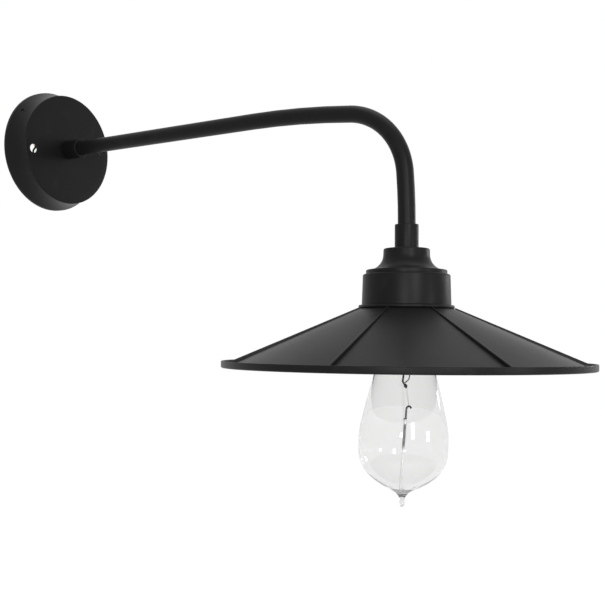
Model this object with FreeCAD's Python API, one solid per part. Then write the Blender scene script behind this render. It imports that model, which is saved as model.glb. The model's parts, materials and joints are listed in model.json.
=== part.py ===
import FreeCAD, Part
import math
import os
from FreeCAD import Vector

# Gooseneck wall sconce, in millimetres.
# The wall is the plane Y = 0 and the lamp stands out of it along -Y.  The arm leaves the
# centre of the wall canopy at the origin, bends down and carries the lamp head, whose axis
# is vertical at Y = -REACH.  +Z is up.

# ---------------------------------------------------------------- driving dimensions

REACH = 376.7              # wall to the lamp head's axis
CONTACT_GAP = 0.3          # room between the bulb and the holder that carries it
SEAT_GAP = 0.1             # room between a tube or ring and the seat it drops into

# arm tube
TUBE_R = 6.35
TUBE_WALL = 1.0
LEAD_IN_R, LEAD_IN_TURN = 752.0, 6.93      # long gentle start of the bend, degrees
MAIN_BEND_R = 52.7
LEAD_OUT_R, LEAD_OUT_TURN = 450.0, 4.725   # long gentle end of the bend, degrees

# wall canopy, a shallow dished cup that is open towards the wall
CANOPY_DEPTH = 23.0
CANOPY_FRONT_R = 49.7
CANOPY_BACK_R = 54.6
CANOPY_WALL = 1.5
CANOPY_HOLLOW = 1.2        # how far the side wall curves in
CANOPY_BAND = 3.0          # straight band that meets the wall
CANOPY_EDGE_ROUND = 1.0
SMALL_ROUND = 0.5          # broken edges of turned and pressed pieces
FACE_HOLE_R = 4.0
FACE_HOLE_PCD = 80.8
FACE_HOLE_TURN = 7.4       # degrees that the pair of holes is turned from level

# collars at both ends of the arm
COLLAR_R = 8.5
COLLAR_LENGTH = 17.4
COLLAR_ROUND = 0.4
TUBE_SEAT = 8.6            # how deep the tube sits in a collar

# threaded nipples, their nuts and washers
NIPPLE_R = 5.0
NIPPLE_BORE_R = 3.9
NIPPLE_SHORT = 0.5         # head nipple ends this far short of the holder's inside
NUT_FLATS = 14.0
NUT_HEIGHT = 4.0
WASHER_R = 9.0
WASHER_THICK = 1.0
BASE_NIPPLE_OUT = 6.5      # nipple past the inside of the canopy's face
BUSH_LIP = 1.4
BUSH_TAIL = 2.8
BUSH_BORE_R = 2.9

# mounting strap inside the canopy
STRAP_TURN = 144.0         # degrees from +X towards +Z
STRAP_WIDTH = 20.0
STRAP_THICK = 2.0
STRAP_EAR_DEPTH = 16.0
EAR_CROWN = 1.1            # how far the flat ears' corners reach towards the round canopy
STRAP_HOLE_R = 6.0         # cable from the wall
WALL_SCREW_PCD = 66.0
WALL_SCREW_R = 2.5
SET_SCREW_R = 2.0
SET_SCREW_LENGTH = 8.0
SET_SCREW_OUT = 9.5        # distance of the set screws from the wall
SOCKET_FLATS = 2.0
SOCKET_DEPTH = 2.2

# terminal block and earth
BLOCK_START = 11.0         # along the strap, on its lower arm
BLOCK_LENGTH = 16.0
BLOCK_WIDTH = 18.0
BLOCK_HEIGHT = 10.0
BLOCK_ROUND = 1.0
POLE_PITCH = 9.0
ENTRY_R = 1.3
ENTRY_DEPTH = 4.5
CLAMP_HEAD_R = 2.2
CLAMP_SCREW_DROP = 3.0
CLAMP_HEAD = 2.0
SLOT_WIDTH = 0.8
SLOT_DEPTH = 0.5
EARTH_AT = 18.0            # along the strap, on its upper arm
EARTH_HEAD_R = 3.8
EARTH_HEAD = 2.4
EARTH_R = 2.0
TAG_THICK = 0.8
TAG_LAND = 2.5             # tag's width about its hole
TAG_TAIL = 12.0
TAG_TAIL_WIDTH = 3.4

# wires
WIRE_R = 0.9
WIRE_ASIDE = 1.3           # each wire's distance from the middle of the tube
WIRE_LEAD = 1.0            # straight start of each bend past its hole or entry
WALL_BEND_R = 6.0
BLOCK_BEND_R = 12.0
HEAD_BEND_R = 5.4
EARTH_BEND_R = 5.5
EARTH_LOOP = 5.5           # from the tags' tails to the lead's first bend
EARTH_LOOP_OUT = 8.0

# lamp head: heights are Z, measured from the arm's axis
HEAD_TOP = -108.3          # top of the holder cap, where the end collar stands
CAP_TOP_R = 16.4
CAP_FOOT_R = 17.0          # where the flare's sides would meet the flange
CAP_FLARE_R = 11.2         # hollow curve between the two
CAP_FLANGE_R = 28.8
CAP_FLANGE_TOP = -123.6
CAP_WALL = 2.0
CAP_EDGE_ROUND = 1.0
SPIGOT_R = 24.5
SPIGOT_DEPTH = 3.0
CUP_TOP = -126.6
CUP_TOP_R = 31.0
CUP_FOOT_R = 31.7
CUP_FOOT = -148.6
CUP_WALL = 1.3
CUP_ROUND = 1.3
RING_R = 34.0              # gallery ring between the cup and the shade
RING_THICK = 2.4
RING_BORE_R = 27.0
RING_COLLAR = 1.6
RING_ROUND = 0.8

# shade
SHADE_SHEET = 1.2
SHADE_BORE_R = 20.4
SHADE_NECK_R = 33.8
SHADE_SKIRT_R = 127.4
SHADE_SKIRT = -192.0       # outer skin's height at the skirt
RIM_GUTTER = 3.5           # from the skirt out to the rim's outside
RIM_RISE = 3.3             # rim's top above the skirt
RIM_DROP = 1.5             # rim's foot below the skirt
RIM_SHEET = 1.0
RIM_ROUND = 0.45
RIM_SEAM_TURN = -64.0      # degrees from +X towards +Y, where the rolled rim's ends meet
RIM_SEAM_WIDTH = 0.6
RIM_SEAM_DEPTH = 0.35
RIBS = 7
RIB_TURN = -121.5          # degrees from +X towards +Y to the first rib
RIB_WIDTH = 1.8
RIB_NECK_HEIGHT = 0.9
RIB_SKIRT_HEIGHT = 2.4
RIB_START_R = 34.6

# lampholder, with the standard 27 mm screw
HOLDER_R = 20.0
HOLDER_WALL = 2.0
HOLDER_NECK_R = 7.5
HOLDER_NECK = 6.7
HOLDER_ROUND = 3.5
HOLDER_FALL = 0.5          # its shoulder slopes down by this much
HOLDER_SPLIT = -134.0      # where its cap and its shell meet
HOLDER_FOOT = -163.5
HOLDER_FLANGE_R = 24.0
HOLDER_FLANGE = 2.5
HOLDER_BORE_R = 15.0
BASE_TOP = -129.0
BASE_FOOT = -135.5
POST_AT = 9.6              # terminal posts, from the axis
POST_SIZE = 4.6
POST_HEIGHT = 3.6
POST_WIRE_DEPTH = 2.4
CLAMP_RING_R = 28.0
CLAMP_RING_THICK = 2.8
CLAMP_COLLAR_R = 22.6
CLAMP_COLLAR = 4.0
CLAMP_NOTCHES = 12
CLAMP_NOTCH_R = 1.5
LINER_WALL = 0.4
LINER_FOOT = -158.0
LINER_WINDOW_R = 8.0
SPRING_WIDTH = 5.0
SPRING_THICK = 0.5
SPRING_DROP = 1.8
SPRING_FLAT = 4.5
SPRING_SLOPE = 1.5

# bulb
BULB_CAP_R = 13.3
BULB_CAP_WALL = 0.4
BULB_CAP_TOP = -141.5
BULB_CAP_TOP_R = 11.8
BULB_CAP_SHOULDER = 1.8
BULB_CAP_FOOT = -163.0
CONTACT_R = 4.5
CONTACT_THICK = 1.5
INSULATOR_SUNK = 0.4
BULB_CAP_ROUND = 1.0
GLASS_WALL = 0.7
GLASS_NECK_R = 12.6
GLASS_NECK_TOP = -152.0
GLASS_SHOULDER_R = 13.75
GLASS_SHOULDER = -164.2
GLASS_WAIST_R = 22.2       # a point on the straight flank
GLASS_WAIST = -197.9
GLASS_MAX_R = 31.7
GLASS_MAX = -252.0
GLASS_HEEL_R = 10.4        # where the rounded foot turns into the tip
GLASS_HEEL = -277.6
TIP_NECK_R = 1.8
TIP_NECK = -286.2
TIP_BEAD_R = 2.15
TIP_END = -290.7
LEAN = 1.2                 # degrees that the glass sits askew in its cap
LEAN_TURN = 124.6          # towards which side it leans, degrees from +X towards +Y
STEM_R = 4.4
STEM_BORE_R = 3.4
STEM_FLARE = -160.0
STEM_FLARE_THICK = 1.0
STEM_FLARE_DEPTH = 5.0
STEM_ROUND = 3.0
STEM_PRESS = -186.0
STEM_END = -193.0
STEM_PRESS_THICK = 3.2
STEM_FLOOR = 1.0
ROD_R = 0.85
ROD_HEAD_R = 1.5
ROD_HEAD = 4.6
LEAD_R = 0.35
HOOK_R = 0.4
FILAMENT_R = 0.14
# Shaping points of the glass, as (outwards, down) steps from the point named.
GLASS_STRAIGHT = 24.0      # straight flank below the waist point
SWELL_ENTRY = 17.0         # along the flank
SWELL_EXIT = 13.0          # straight up from the widest place
FOOT_ENTRY = 13.5          # straight down from it
HEEL_PULL = (9.0, 4.2)
FUNNEL_ENTRY = (5.0, 2.3)
FUNNEL_EXIT = (0.6, 4.2)

# Lines of the thin pieces inside the bulb: (sideways, height, towards the wall's far side).
LEFT_LEAD = ((2.4, -193.0, 0.0), (2.4, -199.0, 0.0), (3.2, -203.0, 0.0), (1.0, -206.2, 0.0))
RIGHT_LEAD = ((-1.8, -193.0, 1.2), (-1.8, -198.0, 1.2), (-0.6, -201.0, 1.2), (2.0, -203.0, 1.2))
HOOK_LINE = ((0.4, -227.9, 0.0), (0.4, -221.2, 0.0), (-2.2, -219.2, 0.0), (-3.6, -221.6, 0.0))
ROD_FOOT = (2.2, -277.9, 0.0)
ROD_NECK = (0.6, -230.6, 0.0)
FILAMENT_LINE = ((1.0, -206.2, 0.0), (-1.7, -220.8, -0.7), (-1.7, -220.8, 0.7),
                 (2.0, -203.0, 1.2))
LEAD_BEND_R = 1.6
HOOK_BEND_R = 1.3
FILAMENT_BEND_R = 0.4

# worked out from the values above
MAIN_TURN = 90.0 - LEAD_IN_TURN - LEAD_OUT_TURN
HEAD_INSIDE = HEAD_TOP - CAP_WALL
RING_TOP = CUP_FOOT
RING_FOOT = RING_TOP - RING_THICK
SHADE_TOP = RING_FOOT
SHADE_UNDER = SHADE_TOP - SHADE_SHEET
RIM_R = SHADE_SKIRT_R + RIM_GUTTER
RIM_TOP = SHADE_SKIRT + RIM_RISE
RIM_FOOT = SHADE_SKIRT - RIM_DROP
LINER_BORE_R = BULB_CAP_R + CONTACT_GAP
LINER_R = LINER_BORE_R + LINER_WALL
HOLDER_TOP = HEAD_INSIDE - WASHER_THICK - NUT_HEIGHT - CONTACT_GAP
HOLDER_SHOULDER = HOLDER_TOP - HOLDER_NECK
HEAD_NIPPLE_END = HOLDER_SHOULDER + NIPPLE_SHORT
WIRE_HEIGHT = BASE_TOP + POST_HEIGHT / 2
SPRING_LOW = BASE_FOOT - SPRING_THICK - SPRING_DROP
CONTACT_TOP = SPRING_LOW - CONTACT_GAP
FACE_INSIDE = CANOPY_DEPTH - CANOPY_WALL
SIDE_DRILL_START = 0.8 * CANOPY_FRONT_R
SIDE_DRILL_LENGTH = 0.4 * CANOPY_BACK_R
STRAP_BEND_R = 1.5 * STRAP_THICK
ENTRY_OUT = STRAP_THICK + BLOCK_HEIGHT / 2


# ---------------------------------------------------------------- shaping helpers

def rounded_edges(points, radii):
    """Straight runs through the points, each inner corner replaced by a tangent arc."""
    edges = []
    here = points[0]
    for before, corner, after, radius in zip(points, points[1:], points[2:], radii):
        if radius <= 0:
            edges.append(Part.makeLine(here, corner))
            here = corner
            continue
        back = (before - corner).normalize()
        ahead = (after - corner).normalize()
        half = back.getAngle(ahead) / 2
        cut = radius / math.tan(half)
        middle = (back + ahead).normalize()
        centre = corner + middle * (radius / math.sin(half))
        first = corner + back * cut
        last = corner + ahead * cut
        if (first - here).Length > 1e-6:
            edges.append(Part.makeLine(here, first))
        edges.append(Part.Arc(first, centre - middle * radius, last).toShape())
        here = last
    if (points[-1] - here).Length > 1e-6:
        edges.append(Part.makeLine(here, points[-1]))
    return edges


def outline(corners):
    """Closed face in the XZ plane from (x, z) or (x, z, corner radius)."""
    points = [Vector(corner[0], 0, corner[1]) for corner in corners]
    radii = [corner[2] if len(corner) > 2 else 0 for corner in corners]
    loop = points + [points[0], points[1]]
    edges = rounded_edges(loop, radii[1:] + radii[:1])
    # The run from the first point to the second is drawn twice, once whole and once trimmed.
    start = edges[-1].Vertexes[0].Point
    first = edges[0].Vertexes[-1].Point
    edges = [Part.makeLine(start, first)] + edges[1:-1]
    return Part.Face(Part.Wire(edges))


def turned(corners):
    """Solid of revolution about Z from a closed outline of radii and heights."""
    return outline(corners).revolve(Vector(0, 0, 0), Vector(0, 0, 1), 360)


def ring(inner, outer, low, high):
    """Plain flat ring or tube about Z."""
    return turned([(inner, low), (outer, low), (outer, high), (inner, high)])


def disc(radius, low, high, x=0.0, y=0.0):
    return Part.makeCylinder(radius, high - low, Vector(x, y, low))


def plate(width, depth, height, centre):
    """Block with its middle at centre."""
    corner = centre - Vector(width, depth, height) * 0.5
    return Part.makeBox(width, depth, height, corner)


def hexagon(flats, low, high):
    """Hexagonal bar about Z."""
    corner = flats / math.sqrt(3.0)
    turns = [math.radians(60 * side) for side in range(7)]
    points = [Vector(corner * math.cos(a), corner * math.sin(a), low) for a in turns]
    face = Part.Face(Part.makePolygon(points))
    return face.extrude(Vector(0, 0, high - low))


def turned_about_z(shape, degrees):
    copy = shape.copy()
    copy.rotate(Vector(0, 0, 0), Vector(0, 0, 1), degrees)
    return copy


def out_of_wall(shape):
    """Turn a piece made about Z, its Z becoming the distance out of the wall."""
    shape = shape.copy()
    shape.rotate(Vector(0, 0, 0), Vector(1, 0, 0), 90)
    return shape


def on_lamp_axis(shape):
    shape = shape.copy()
    shape.translate(Vector(0, -REACH, 0))
    return shape


def leaning(shape):
    """Tip a piece of the bulb about the end of its cap, then put it on the lamp's axis."""
    side = math.radians(LEAN_TURN)
    hinge = Vector(-math.sin(side), math.cos(side), 0)
    shape = shape.copy()
    shape.rotate(Vector(0, 0, BULB_CAP_FOOT), hinge, -LEAN)
    return on_lamp_axis(shape)


def swept(edges, radius):
    """Round wire or rod along straight runs and tangent arcs."""
    path = Part.Wire(edges)
    start = edges[0].Vertexes[0].Point
    heading = edges[0].Vertexes[-1].Point - start
    section = Part.Wire(Part.makeCircle(radius, start, heading))
    body = path.makePipeShell([section], True, True)
    expected = math.pi * radius ** 2 * path.Length
    print("swept length %.1f volume ratio %.4f" % (path.Length, abs(body.Volume) / expected))
    return body


# ---------------------------------------------------------------- arm

def arm_edges(aside, start, stop):
    """The arm's line, from start out of the wall to the height stop, shifted aside in X."""
    lead_in = math.radians(LEAD_IN_TURN)
    main = math.radians(LEAD_IN_TURN + MAIN_TURN)
    bend_reach = LEAD_IN_R * math.sin(lead_in)
    bend_reach += MAIN_BEND_R * (math.sin(main) - math.sin(lead_in))
    bend_reach += LEAD_OUT_R * (1 - math.sin(main))
    here = Vector(aside, -start, 0)
    corner = Vector(aside, -(REACH - bend_reach), 0)
    edges = [Part.makeLine(here, corner)]
    here = corner
    turn = 0.0
    for radius, degrees in ((LEAD_IN_R, LEAD_IN_TURN), (MAIN_BEND_R, MAIN_TURN),
                            (LEAD_OUT_R, LEAD_OUT_TURN)):
        inward = Vector(0, math.sin(turn), -math.cos(turn))
        centre = here + inward * radius
        halfway = turn + math.radians(degrees) / 2
        turn += math.radians(degrees)
        via = centre - Vector(0, math.sin(halfway), -math.cos(halfway)) * radius
        there = centre - Vector(0, math.sin(turn), -math.cos(turn)) * radius
        edges.append(Part.Arc(here, via, there).toShape())
        here = there
    edges.append(Part.makeLine(here, Vector(aside, -REACH, stop)))
    return edges


def arm_tube():
    start = CANOPY_DEPTH + COLLAR_LENGTH - TUBE_SEAT
    stop = HEAD_TOP + COLLAR_LENGTH - TUBE_SEAT
    outside = swept(arm_edges(0, start, stop), TUBE_R)
    inside = swept(arm_edges(0, start, stop), TUBE_R - TUBE_WALL)
    return outside.cut(inside)


def collar():
    """Coupling about Z: its foot screws on a nipple and its top takes the tube."""
    seat = COLLAR_LENGTH - TUBE_SEAT
    bore = TUBE_R + SEAT_GAP
    return turned([(NIPPLE_R, 0), (COLLAR_R, 0, COLLAR_ROUND),
                   (COLLAR_R, COLLAR_LENGTH, COLLAR_ROUND), (bore, COLLAR_LENGTH),
                   (bore, seat), (NIPPLE_R, seat)])


def arm_base_collar():
    shape = collar()
    shape.translate(Vector(0, 0, CANOPY_DEPTH))
    return out_of_wall(shape)


def arm_end_collar():
    shape = collar()
    shape.translate(Vector(0, 0, HEAD_TOP))
    return on_lamp_axis(shape)


def nipple(low, high):
    return ring(NIPPLE_BORE_R, NIPPLE_R, low, high)


def lock_nut(low):
    return hexagon(NUT_FLATS, low, low + NUT_HEIGHT).cut(disc(NIPPLE_R, low, low + NUT_HEIGHT))


def lock_washer(low):
    return ring(NIPPLE_R + SEAT_GAP, WASHER_R, low, low + WASHER_THICK)


def wire_bush():
    """Insulating bush in the end of the nipple inside the canopy."""
    end = FACE_INSIDE - BASE_NIPPLE_OUT
    return out_of_wall(turned([(BUSH_BORE_R, end - BUSH_LIP), (NIPPLE_R, end - BUSH_LIP, SMALL_ROUND),
                               (NIPPLE_R, end), (NIPPLE_BORE_R, end),
                               (NIPPLE_BORE_R, end + BUSH_TAIL), (BUSH_BORE_R, end + BUSH_TAIL)]))


def arm_base_nipple():
    low = FACE_INSIDE - BASE_NIPPLE_OUT
    return out_of_wall(nipple(low, CANOPY_DEPTH + COLLAR_LENGTH - TUBE_SEAT))


def arm_base_nut():
    return out_of_wall(lock_nut(FACE_INSIDE - TAG_THICK - WASHER_THICK - NUT_HEIGHT))


def arm_base_washer():
    return out_of_wall(lock_washer(FACE_INSIDE - WASHER_THICK))


def head_nipple():
    return on_lamp_axis(nipple(HEAD_NIPPLE_END, HEAD_TOP + COLLAR_LENGTH - TUBE_SEAT))


def head_lock_nut():
    return on_lamp_axis(lock_nut(HEAD_INSIDE - WASHER_THICK - NUT_HEIGHT))


def head_lock_washer():
    return on_lamp_axis(lock_washer(HEAD_INSIDE - WASHER_THICK))


# ---------------------------------------------------------------- wall canopy

def canopy_skin(inset):
    """Dished cup about Z with its open side at Z = 0, every skin moved in by inset."""
    front = CANOPY_DEPTH - inset
    start = Vector(CANOPY_BACK_R - inset, 0, 0)
    foot = Vector(CANOPY_BACK_R - inset, 0, CANOPY_BAND)
    head = Vector(CANOPY_FRONT_R - inset, 0, front - CANOPY_EDGE_ROUND)
    across = Vector(head.z - foot.z, 0, foot.x - head.x).normalize()
    waist = (foot + head) * 0.5 - across * CANOPY_HOLLOW
    cut_corner = CANOPY_EDGE_ROUND * (1 - math.sqrt(0.5))
    bulge = Vector(head.x - cut_corner, 0, front - cut_corner)
    edge = Vector(head.x - CANOPY_EDGE_ROUND, 0, front)
    middle = Vector(0, 0, front)
    edges = [Part.makeLine(Vector(0, 0, 0), start), Part.makeLine(start, foot),
             Part.Arc(foot, waist, head).toShape(), Part.Arc(head, bulge, edge).toShape(),
             Part.makeLine(edge, middle), Part.makeLine(middle, Vector(0, 0, 0))]
    return Part.Face(Part.Wire(edges)).revolve(Vector(0, 0, 0), Vector(0, 0, 1), 360)


def set_screw_axis(side):
    """Direction of the set screw on one arm of the strap, about Z."""
    return turned_about_z(Part.Vertex(Vector(side, 0, 0)), STRAP_TURN).Point


def side_hole(radius, side):
    """Radial drilling through the canopy's wall and the strap's ear."""
    start = set_screw_axis(side) * SIDE_DRILL_START + Vector(0, 0, SET_SCREW_OUT)
    return Part.makeCylinder(radius, SIDE_DRILL_LENGTH, start, set_screw_axis(side))


def wall_canopy():
    shape = canopy_skin(0).cut(canopy_skin(CANOPY_WALL))
    shape = shape.cut(disc(NIPPLE_R + SEAT_GAP, 0, CANOPY_DEPTH))
    for half in (0, 180):
        turn = math.radians(FACE_HOLE_TURN + half)
        x = FACE_HOLE_PCD / 2 * math.cos(turn)
        y = FACE_HOLE_PCD / 2 * math.sin(turn)
        shape = shape.cut(disc(FACE_HOLE_R, 0, CANOPY_DEPTH, x, y))
    for side in (1, -1):
        shape = shape.cut(side_hole(SET_SCREW_R + SEAT_GAP, side))
    return out_of_wall(shape)


def canopy_inner_radius(out):
    """Radius of the canopy's inner skin at a distance out of the wall."""
    foot, head = CANOPY_BAND, CANOPY_DEPTH - CANOPY_WALL - CANOPY_EDGE_ROUND
    share = (out - foot) / (head - foot)
    chord = CANOPY_BACK_R + (CANOPY_FRONT_R - CANOPY_BACK_R) * share - CANOPY_WALL
    return chord - 4 * CANOPY_HOLLOW * share * (1 - share)


def ear_outer_radius():
    """The strap's ears stand just inside the canopy at their tips."""
    return canopy_inner_radius(STRAP_EAR_DEPTH) - CONTACT_GAP - EAR_CROWN


def mounting_strap():
    """Bar across the canopy with its ends bent up as ears, along X before it is turned."""
    reach = ear_outer_radius()
    inner_bend = STRAP_BEND_R - STRAP_THICK
    side = [(-reach, STRAP_EAR_DEPTH), (-reach, 0, STRAP_BEND_R), (reach, 0, STRAP_BEND_R),
            (reach, STRAP_EAR_DEPTH), (reach - STRAP_THICK, STRAP_EAR_DEPTH),
            (reach - STRAP_THICK, STRAP_THICK, inner_bend),
            (STRAP_THICK - reach, STRAP_THICK, inner_bend),
            (STRAP_THICK - reach, STRAP_EAR_DEPTH)]
    bar = outline(side).extrude(Vector(0, STRAP_WIDTH, 0))
    bar.translate(Vector(0, -STRAP_WIDTH / 2, 0))
    bar = bar.cut(disc(STRAP_HOLE_R, 0, STRAP_THICK))
    for at in (-WALL_SCREW_PCD / 2, WALL_SCREW_PCD / 2):
        bar = bar.cut(disc(WALL_SCREW_R, 0, STRAP_THICK, at))
    bar = bar.cut(disc(EARTH_R, 0, STRAP_THICK, EARTH_AT))
    bar = turned_about_z(bar, STRAP_TURN)
    for half in (1, -1):
        bar = bar.cut(side_hole(SET_SCREW_R, half))
    return out_of_wall(bar)


def canopy_set_screws():
    """Socket screws that lock the canopy to the strap's ears."""
    screws = []
    for side in (1, -1):
        tip = canopy_inner_radius(SET_SCREW_OUT) + CANOPY_WALL
        screw = disc(SET_SCREW_R, tip - SET_SCREW_LENGTH, tip)
        screw = screw.cut(hexagon(SOCKET_FLATS, tip - SOCKET_DEPTH, tip))
        screw.rotate(Vector(0, 0, 0), Vector(0, 1, 0), 90 * side)
        screw.translate(Vector(0, 0, SET_SCREW_OUT))
        screws.append(out_of_wall(turned_about_z(screw, STRAP_TURN)))
    return Part.makeCompound(screws)


# ---------------------------------------------------------------- terminals and wires

def pole_offsets():
    return (-POLE_PITCH / 2, POLE_PITCH / 2)


def terminal_block():
    """Two-pole block on the strap's lower arm."""
    middle = Vector(-BLOCK_START - BLOCK_LENGTH / 2, 0, STRAP_THICK + BLOCK_HEIGHT / 2)
    block = plate(BLOCK_LENGTH, BLOCK_WIDTH, BLOCK_HEIGHT, middle)
    upright = [edge for edge in block.Edges if abs(edge.tangentAt(0).z) > 0.9]
    block = block.makeFillet(BLOCK_ROUND, upright)
    top = STRAP_THICK + BLOCK_HEIGHT
    for offset in pole_offsets():
        for face, way in ((-BLOCK_START, -1), (-BLOCK_START - BLOCK_LENGTH, 1)):
            start = Vector(face, offset, ENTRY_OUT)
            block = block.cut(Part.makeCylinder(ENTRY_R, ENTRY_DEPTH, start, Vector(way, 0, 0)))
            at = face + way * (ENTRY_DEPTH - ENTRY_R)
            block = block.cut(disc(CLAMP_HEAD_R + SEAT_GAP, top - CLAMP_SCREW_DROP, top, at, offset))
    return out_of_wall(turned_about_z(block, STRAP_TURN))


def terminal_screws():
    """Slotted clamp screws at the bottom of the block's wells."""
    screws = []
    top = STRAP_THICK + BLOCK_HEIGHT
    for offset in pole_offsets():
        for face, way in ((-BLOCK_START, -1), (-BLOCK_START - BLOCK_LENGTH, 1)):
            at = face + way * (ENTRY_DEPTH - ENTRY_R)
            face_height = top - CLAMP_SCREW_DROP + CLAMP_HEAD
            head = disc(CLAMP_HEAD_R, top - CLAMP_SCREW_DROP, face_height, at, offset)
            slot = plate(2 * CLAMP_HEAD_R, SLOT_WIDTH, 2 * SLOT_DEPTH,
                         Vector(at, offset, face_height))
            screws.append(out_of_wall(turned_about_z(head.cut(slot), STRAP_TURN)))
    return Part.makeCompound(screws)


def earth_screw():
    low = STRAP_THICK + TAG_THICK
    head = disc(EARTH_HEAD_R, low, low + EARTH_HEAD, EARTH_AT)
    slot = plate(2 * EARTH_HEAD_R, SLOT_WIDTH, 2 * SLOT_DEPTH,
                 Vector(EARTH_AT, 0, low + EARTH_HEAD))
    screw = head.cut(slot).fuse(disc(EARTH_R, 0, low, EARTH_AT))
    return out_of_wall(turned_about_z(screw.removeSplitter(), STRAP_TURN))


def earth_tag(hole_r, low):
    """Ring tag about Z with a flat tail along X."""
    tail = plate(TAG_TAIL, TAG_TAIL_WIDTH, TAG_THICK, Vector(TAG_TAIL / 2, 0, low + TAG_THICK / 2))
    tag = disc(hole_r + TAG_LAND, low, low + TAG_THICK).fuse(tail)
    return tag.cut(disc(hole_r, low, low + TAG_THICK)).removeSplitter()


def earth_tags():
    """One tag under the arm's lock nut and one under the earth screw."""
    at_nut = earth_tag(NIPPLE_R + SEAT_GAP, FACE_INSIDE - WASHER_THICK - TAG_THICK)
    at_nut = turned_about_z(at_nut, 90)
    at_screw = turned_about_z(earth_tag(EARTH_R, STRAP_THICK), 90)
    at_screw.translate(Vector(EARTH_AT, 0, 0))
    return Part.makeCompound([out_of_wall(turned_about_z(at_nut, STRAP_TURN)),
                              out_of_wall(turned_about_z(at_screw, STRAP_TURN))])


def earth_lead():
    """Short lead between the tails of the two earth tags, in a half loop beside the strap."""
    high = FACE_INSIDE - WASHER_THICK - TAG_THICK / 2
    low = STRAP_THICK + TAG_THICK / 2
    turn = TAG_TAIL + EARTH_LOOP
    points = [Vector(0, TAG_TAIL, high), Vector(0, turn, high),
              Vector(EARTH_AT / 2, turn + EARTH_LOOP_OUT, (high + low) / 2),
              Vector(EARTH_AT, turn, low), Vector(EARTH_AT, TAG_TAIL, low)]
    lead = swept(rounded_edges(points, [EARTH_BEND_R] * 3), WIRE_R)
    return out_of_wall(turned_about_z(lead, STRAP_TURN))


def block_entry(side, along):
    """Point on a wire's way into the terminal block, in the part's own frame."""
    point = Vector(-along, side * POLE_PITCH / 2, ENTRY_OUT)
    vertex = out_of_wall(turned_about_z(Part.Vertex(point), STRAP_TURN))
    return vertex.Point


def feed_wire(side):
    """Wire from the terminal block, through the arm, to a post of the lampholder."""
    aside = -side * WIRE_ASIDE
    start = FACE_INSIDE - BASE_NIPPLE_OUT + WIRE_LEAD
    bend = Vector(aside, -ENTRY_OUT, 0)
    wall_end = [block_entry(side, BLOCK_START + ENTRY_DEPTH), block_entry(side, BLOCK_START - WIRE_LEAD),
                bend, Vector(aside, -start, 0)]
    edges = rounded_edges(wall_end, [BLOCK_BEND_R, WALL_BEND_R])
    edges += arm_edges(aside, start, HEAD_NIPPLE_END + WIRE_LEAD)
    post = -side * (POST_AT + POST_WIRE_DEPTH)
    head_end = [Vector(aside, -REACH, HEAD_NIPPLE_END + WIRE_LEAD),
                Vector(aside, -REACH, WIRE_HEIGHT),
                Vector(post, -REACH, WIRE_HEIGHT)]
    edges += rounded_edges(head_end, [HEAD_BEND_R])
    return swept(edges, WIRE_R)


def live_wire():
    return feed_wire(1)


def neutral_wire():
    return feed_wire(-1)


# ---------------------------------------------------------------- lamp head

def holder_cap():
    """Flared hollow casting that the end collar stands on, with a spigot into the cup."""
    spigot_end = CUP_TOP - SPIGOT_DEPTH
    outside = turned([(0, HEAD_TOP), (CAP_TOP_R, HEAD_TOP, CAP_EDGE_ROUND),
                      (CAP_FOOT_R, CAP_FLANGE_TOP, CAP_FLARE_R),
                      (CAP_FLANGE_R, CAP_FLANGE_TOP, SMALL_ROUND), (CAP_FLANGE_R, CUP_TOP),
                      (SPIGOT_R, CUP_TOP), (SPIGOT_R, spigot_end), (0, spigot_end)])
    flare_foot = CAP_FLANGE_TOP - CAP_WALL
    cavity = turned([(0, HEAD_INSIDE), (CAP_TOP_R - CAP_WALL, HEAD_INSIDE),
                     (CAP_FOOT_R - CAP_WALL, flare_foot, CAP_FLARE_R + CAP_WALL),
                     (CAP_FLANGE_R + CAP_WALL, flare_foot), (CAP_FLANGE_R + CAP_WALL, spigot_end),
                     (0, spigot_end)])
    cavity = cavity.common(disc(SPIGOT_R - CAP_WALL, spigot_end, HEAD_INSIDE))
    bore = disc(NIPPLE_R + SEAT_GAP, HEAD_INSIDE, HEAD_TOP)
    return on_lamp_axis(outside.cut(cavity).cut(bore))


def holder_cup():
    """Cup that hides the lampholder."""
    lid = CUP_TOP - CUP_WALL
    return on_lamp_axis(turned([(SPIGOT_R, CUP_TOP), (CUP_TOP_R, CUP_TOP, CUP_ROUND),
                                (CUP_FOOT_R, CUP_FOOT), (CUP_FOOT_R - CUP_WALL, CUP_FOOT),
                                (CUP_TOP_R - CUP_WALL, lid, SMALL_ROUND), (SPIGOT_R, lid)]))


def gallery_ring():
    """Ring between the cup and the shade, with a collar that centres the cup."""
    collar_r = CUP_FOOT_R - CUP_WALL - SEAT_GAP
    inner = collar_r - CUP_WALL
    return on_lamp_axis(turned([(RING_BORE_R, RING_FOOT), (RING_R, RING_FOOT, RING_ROUND),
                                (RING_R, RING_TOP, RING_ROUND), (collar_r, RING_TOP),
                                (collar_r, RING_TOP + RING_COLLAR), (inner, RING_TOP + RING_COLLAR),
                                (inner, RING_TOP), (RING_BORE_R, RING_TOP)]))


def skirt_height(radius):
    """Height of the shade's outer skin at a radius."""
    share = (radius - SHADE_NECK_R) / (SHADE_SKIRT_R - SHADE_NECK_R)
    return SHADE_TOP + (SHADE_SKIRT - SHADE_TOP) * share


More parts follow.
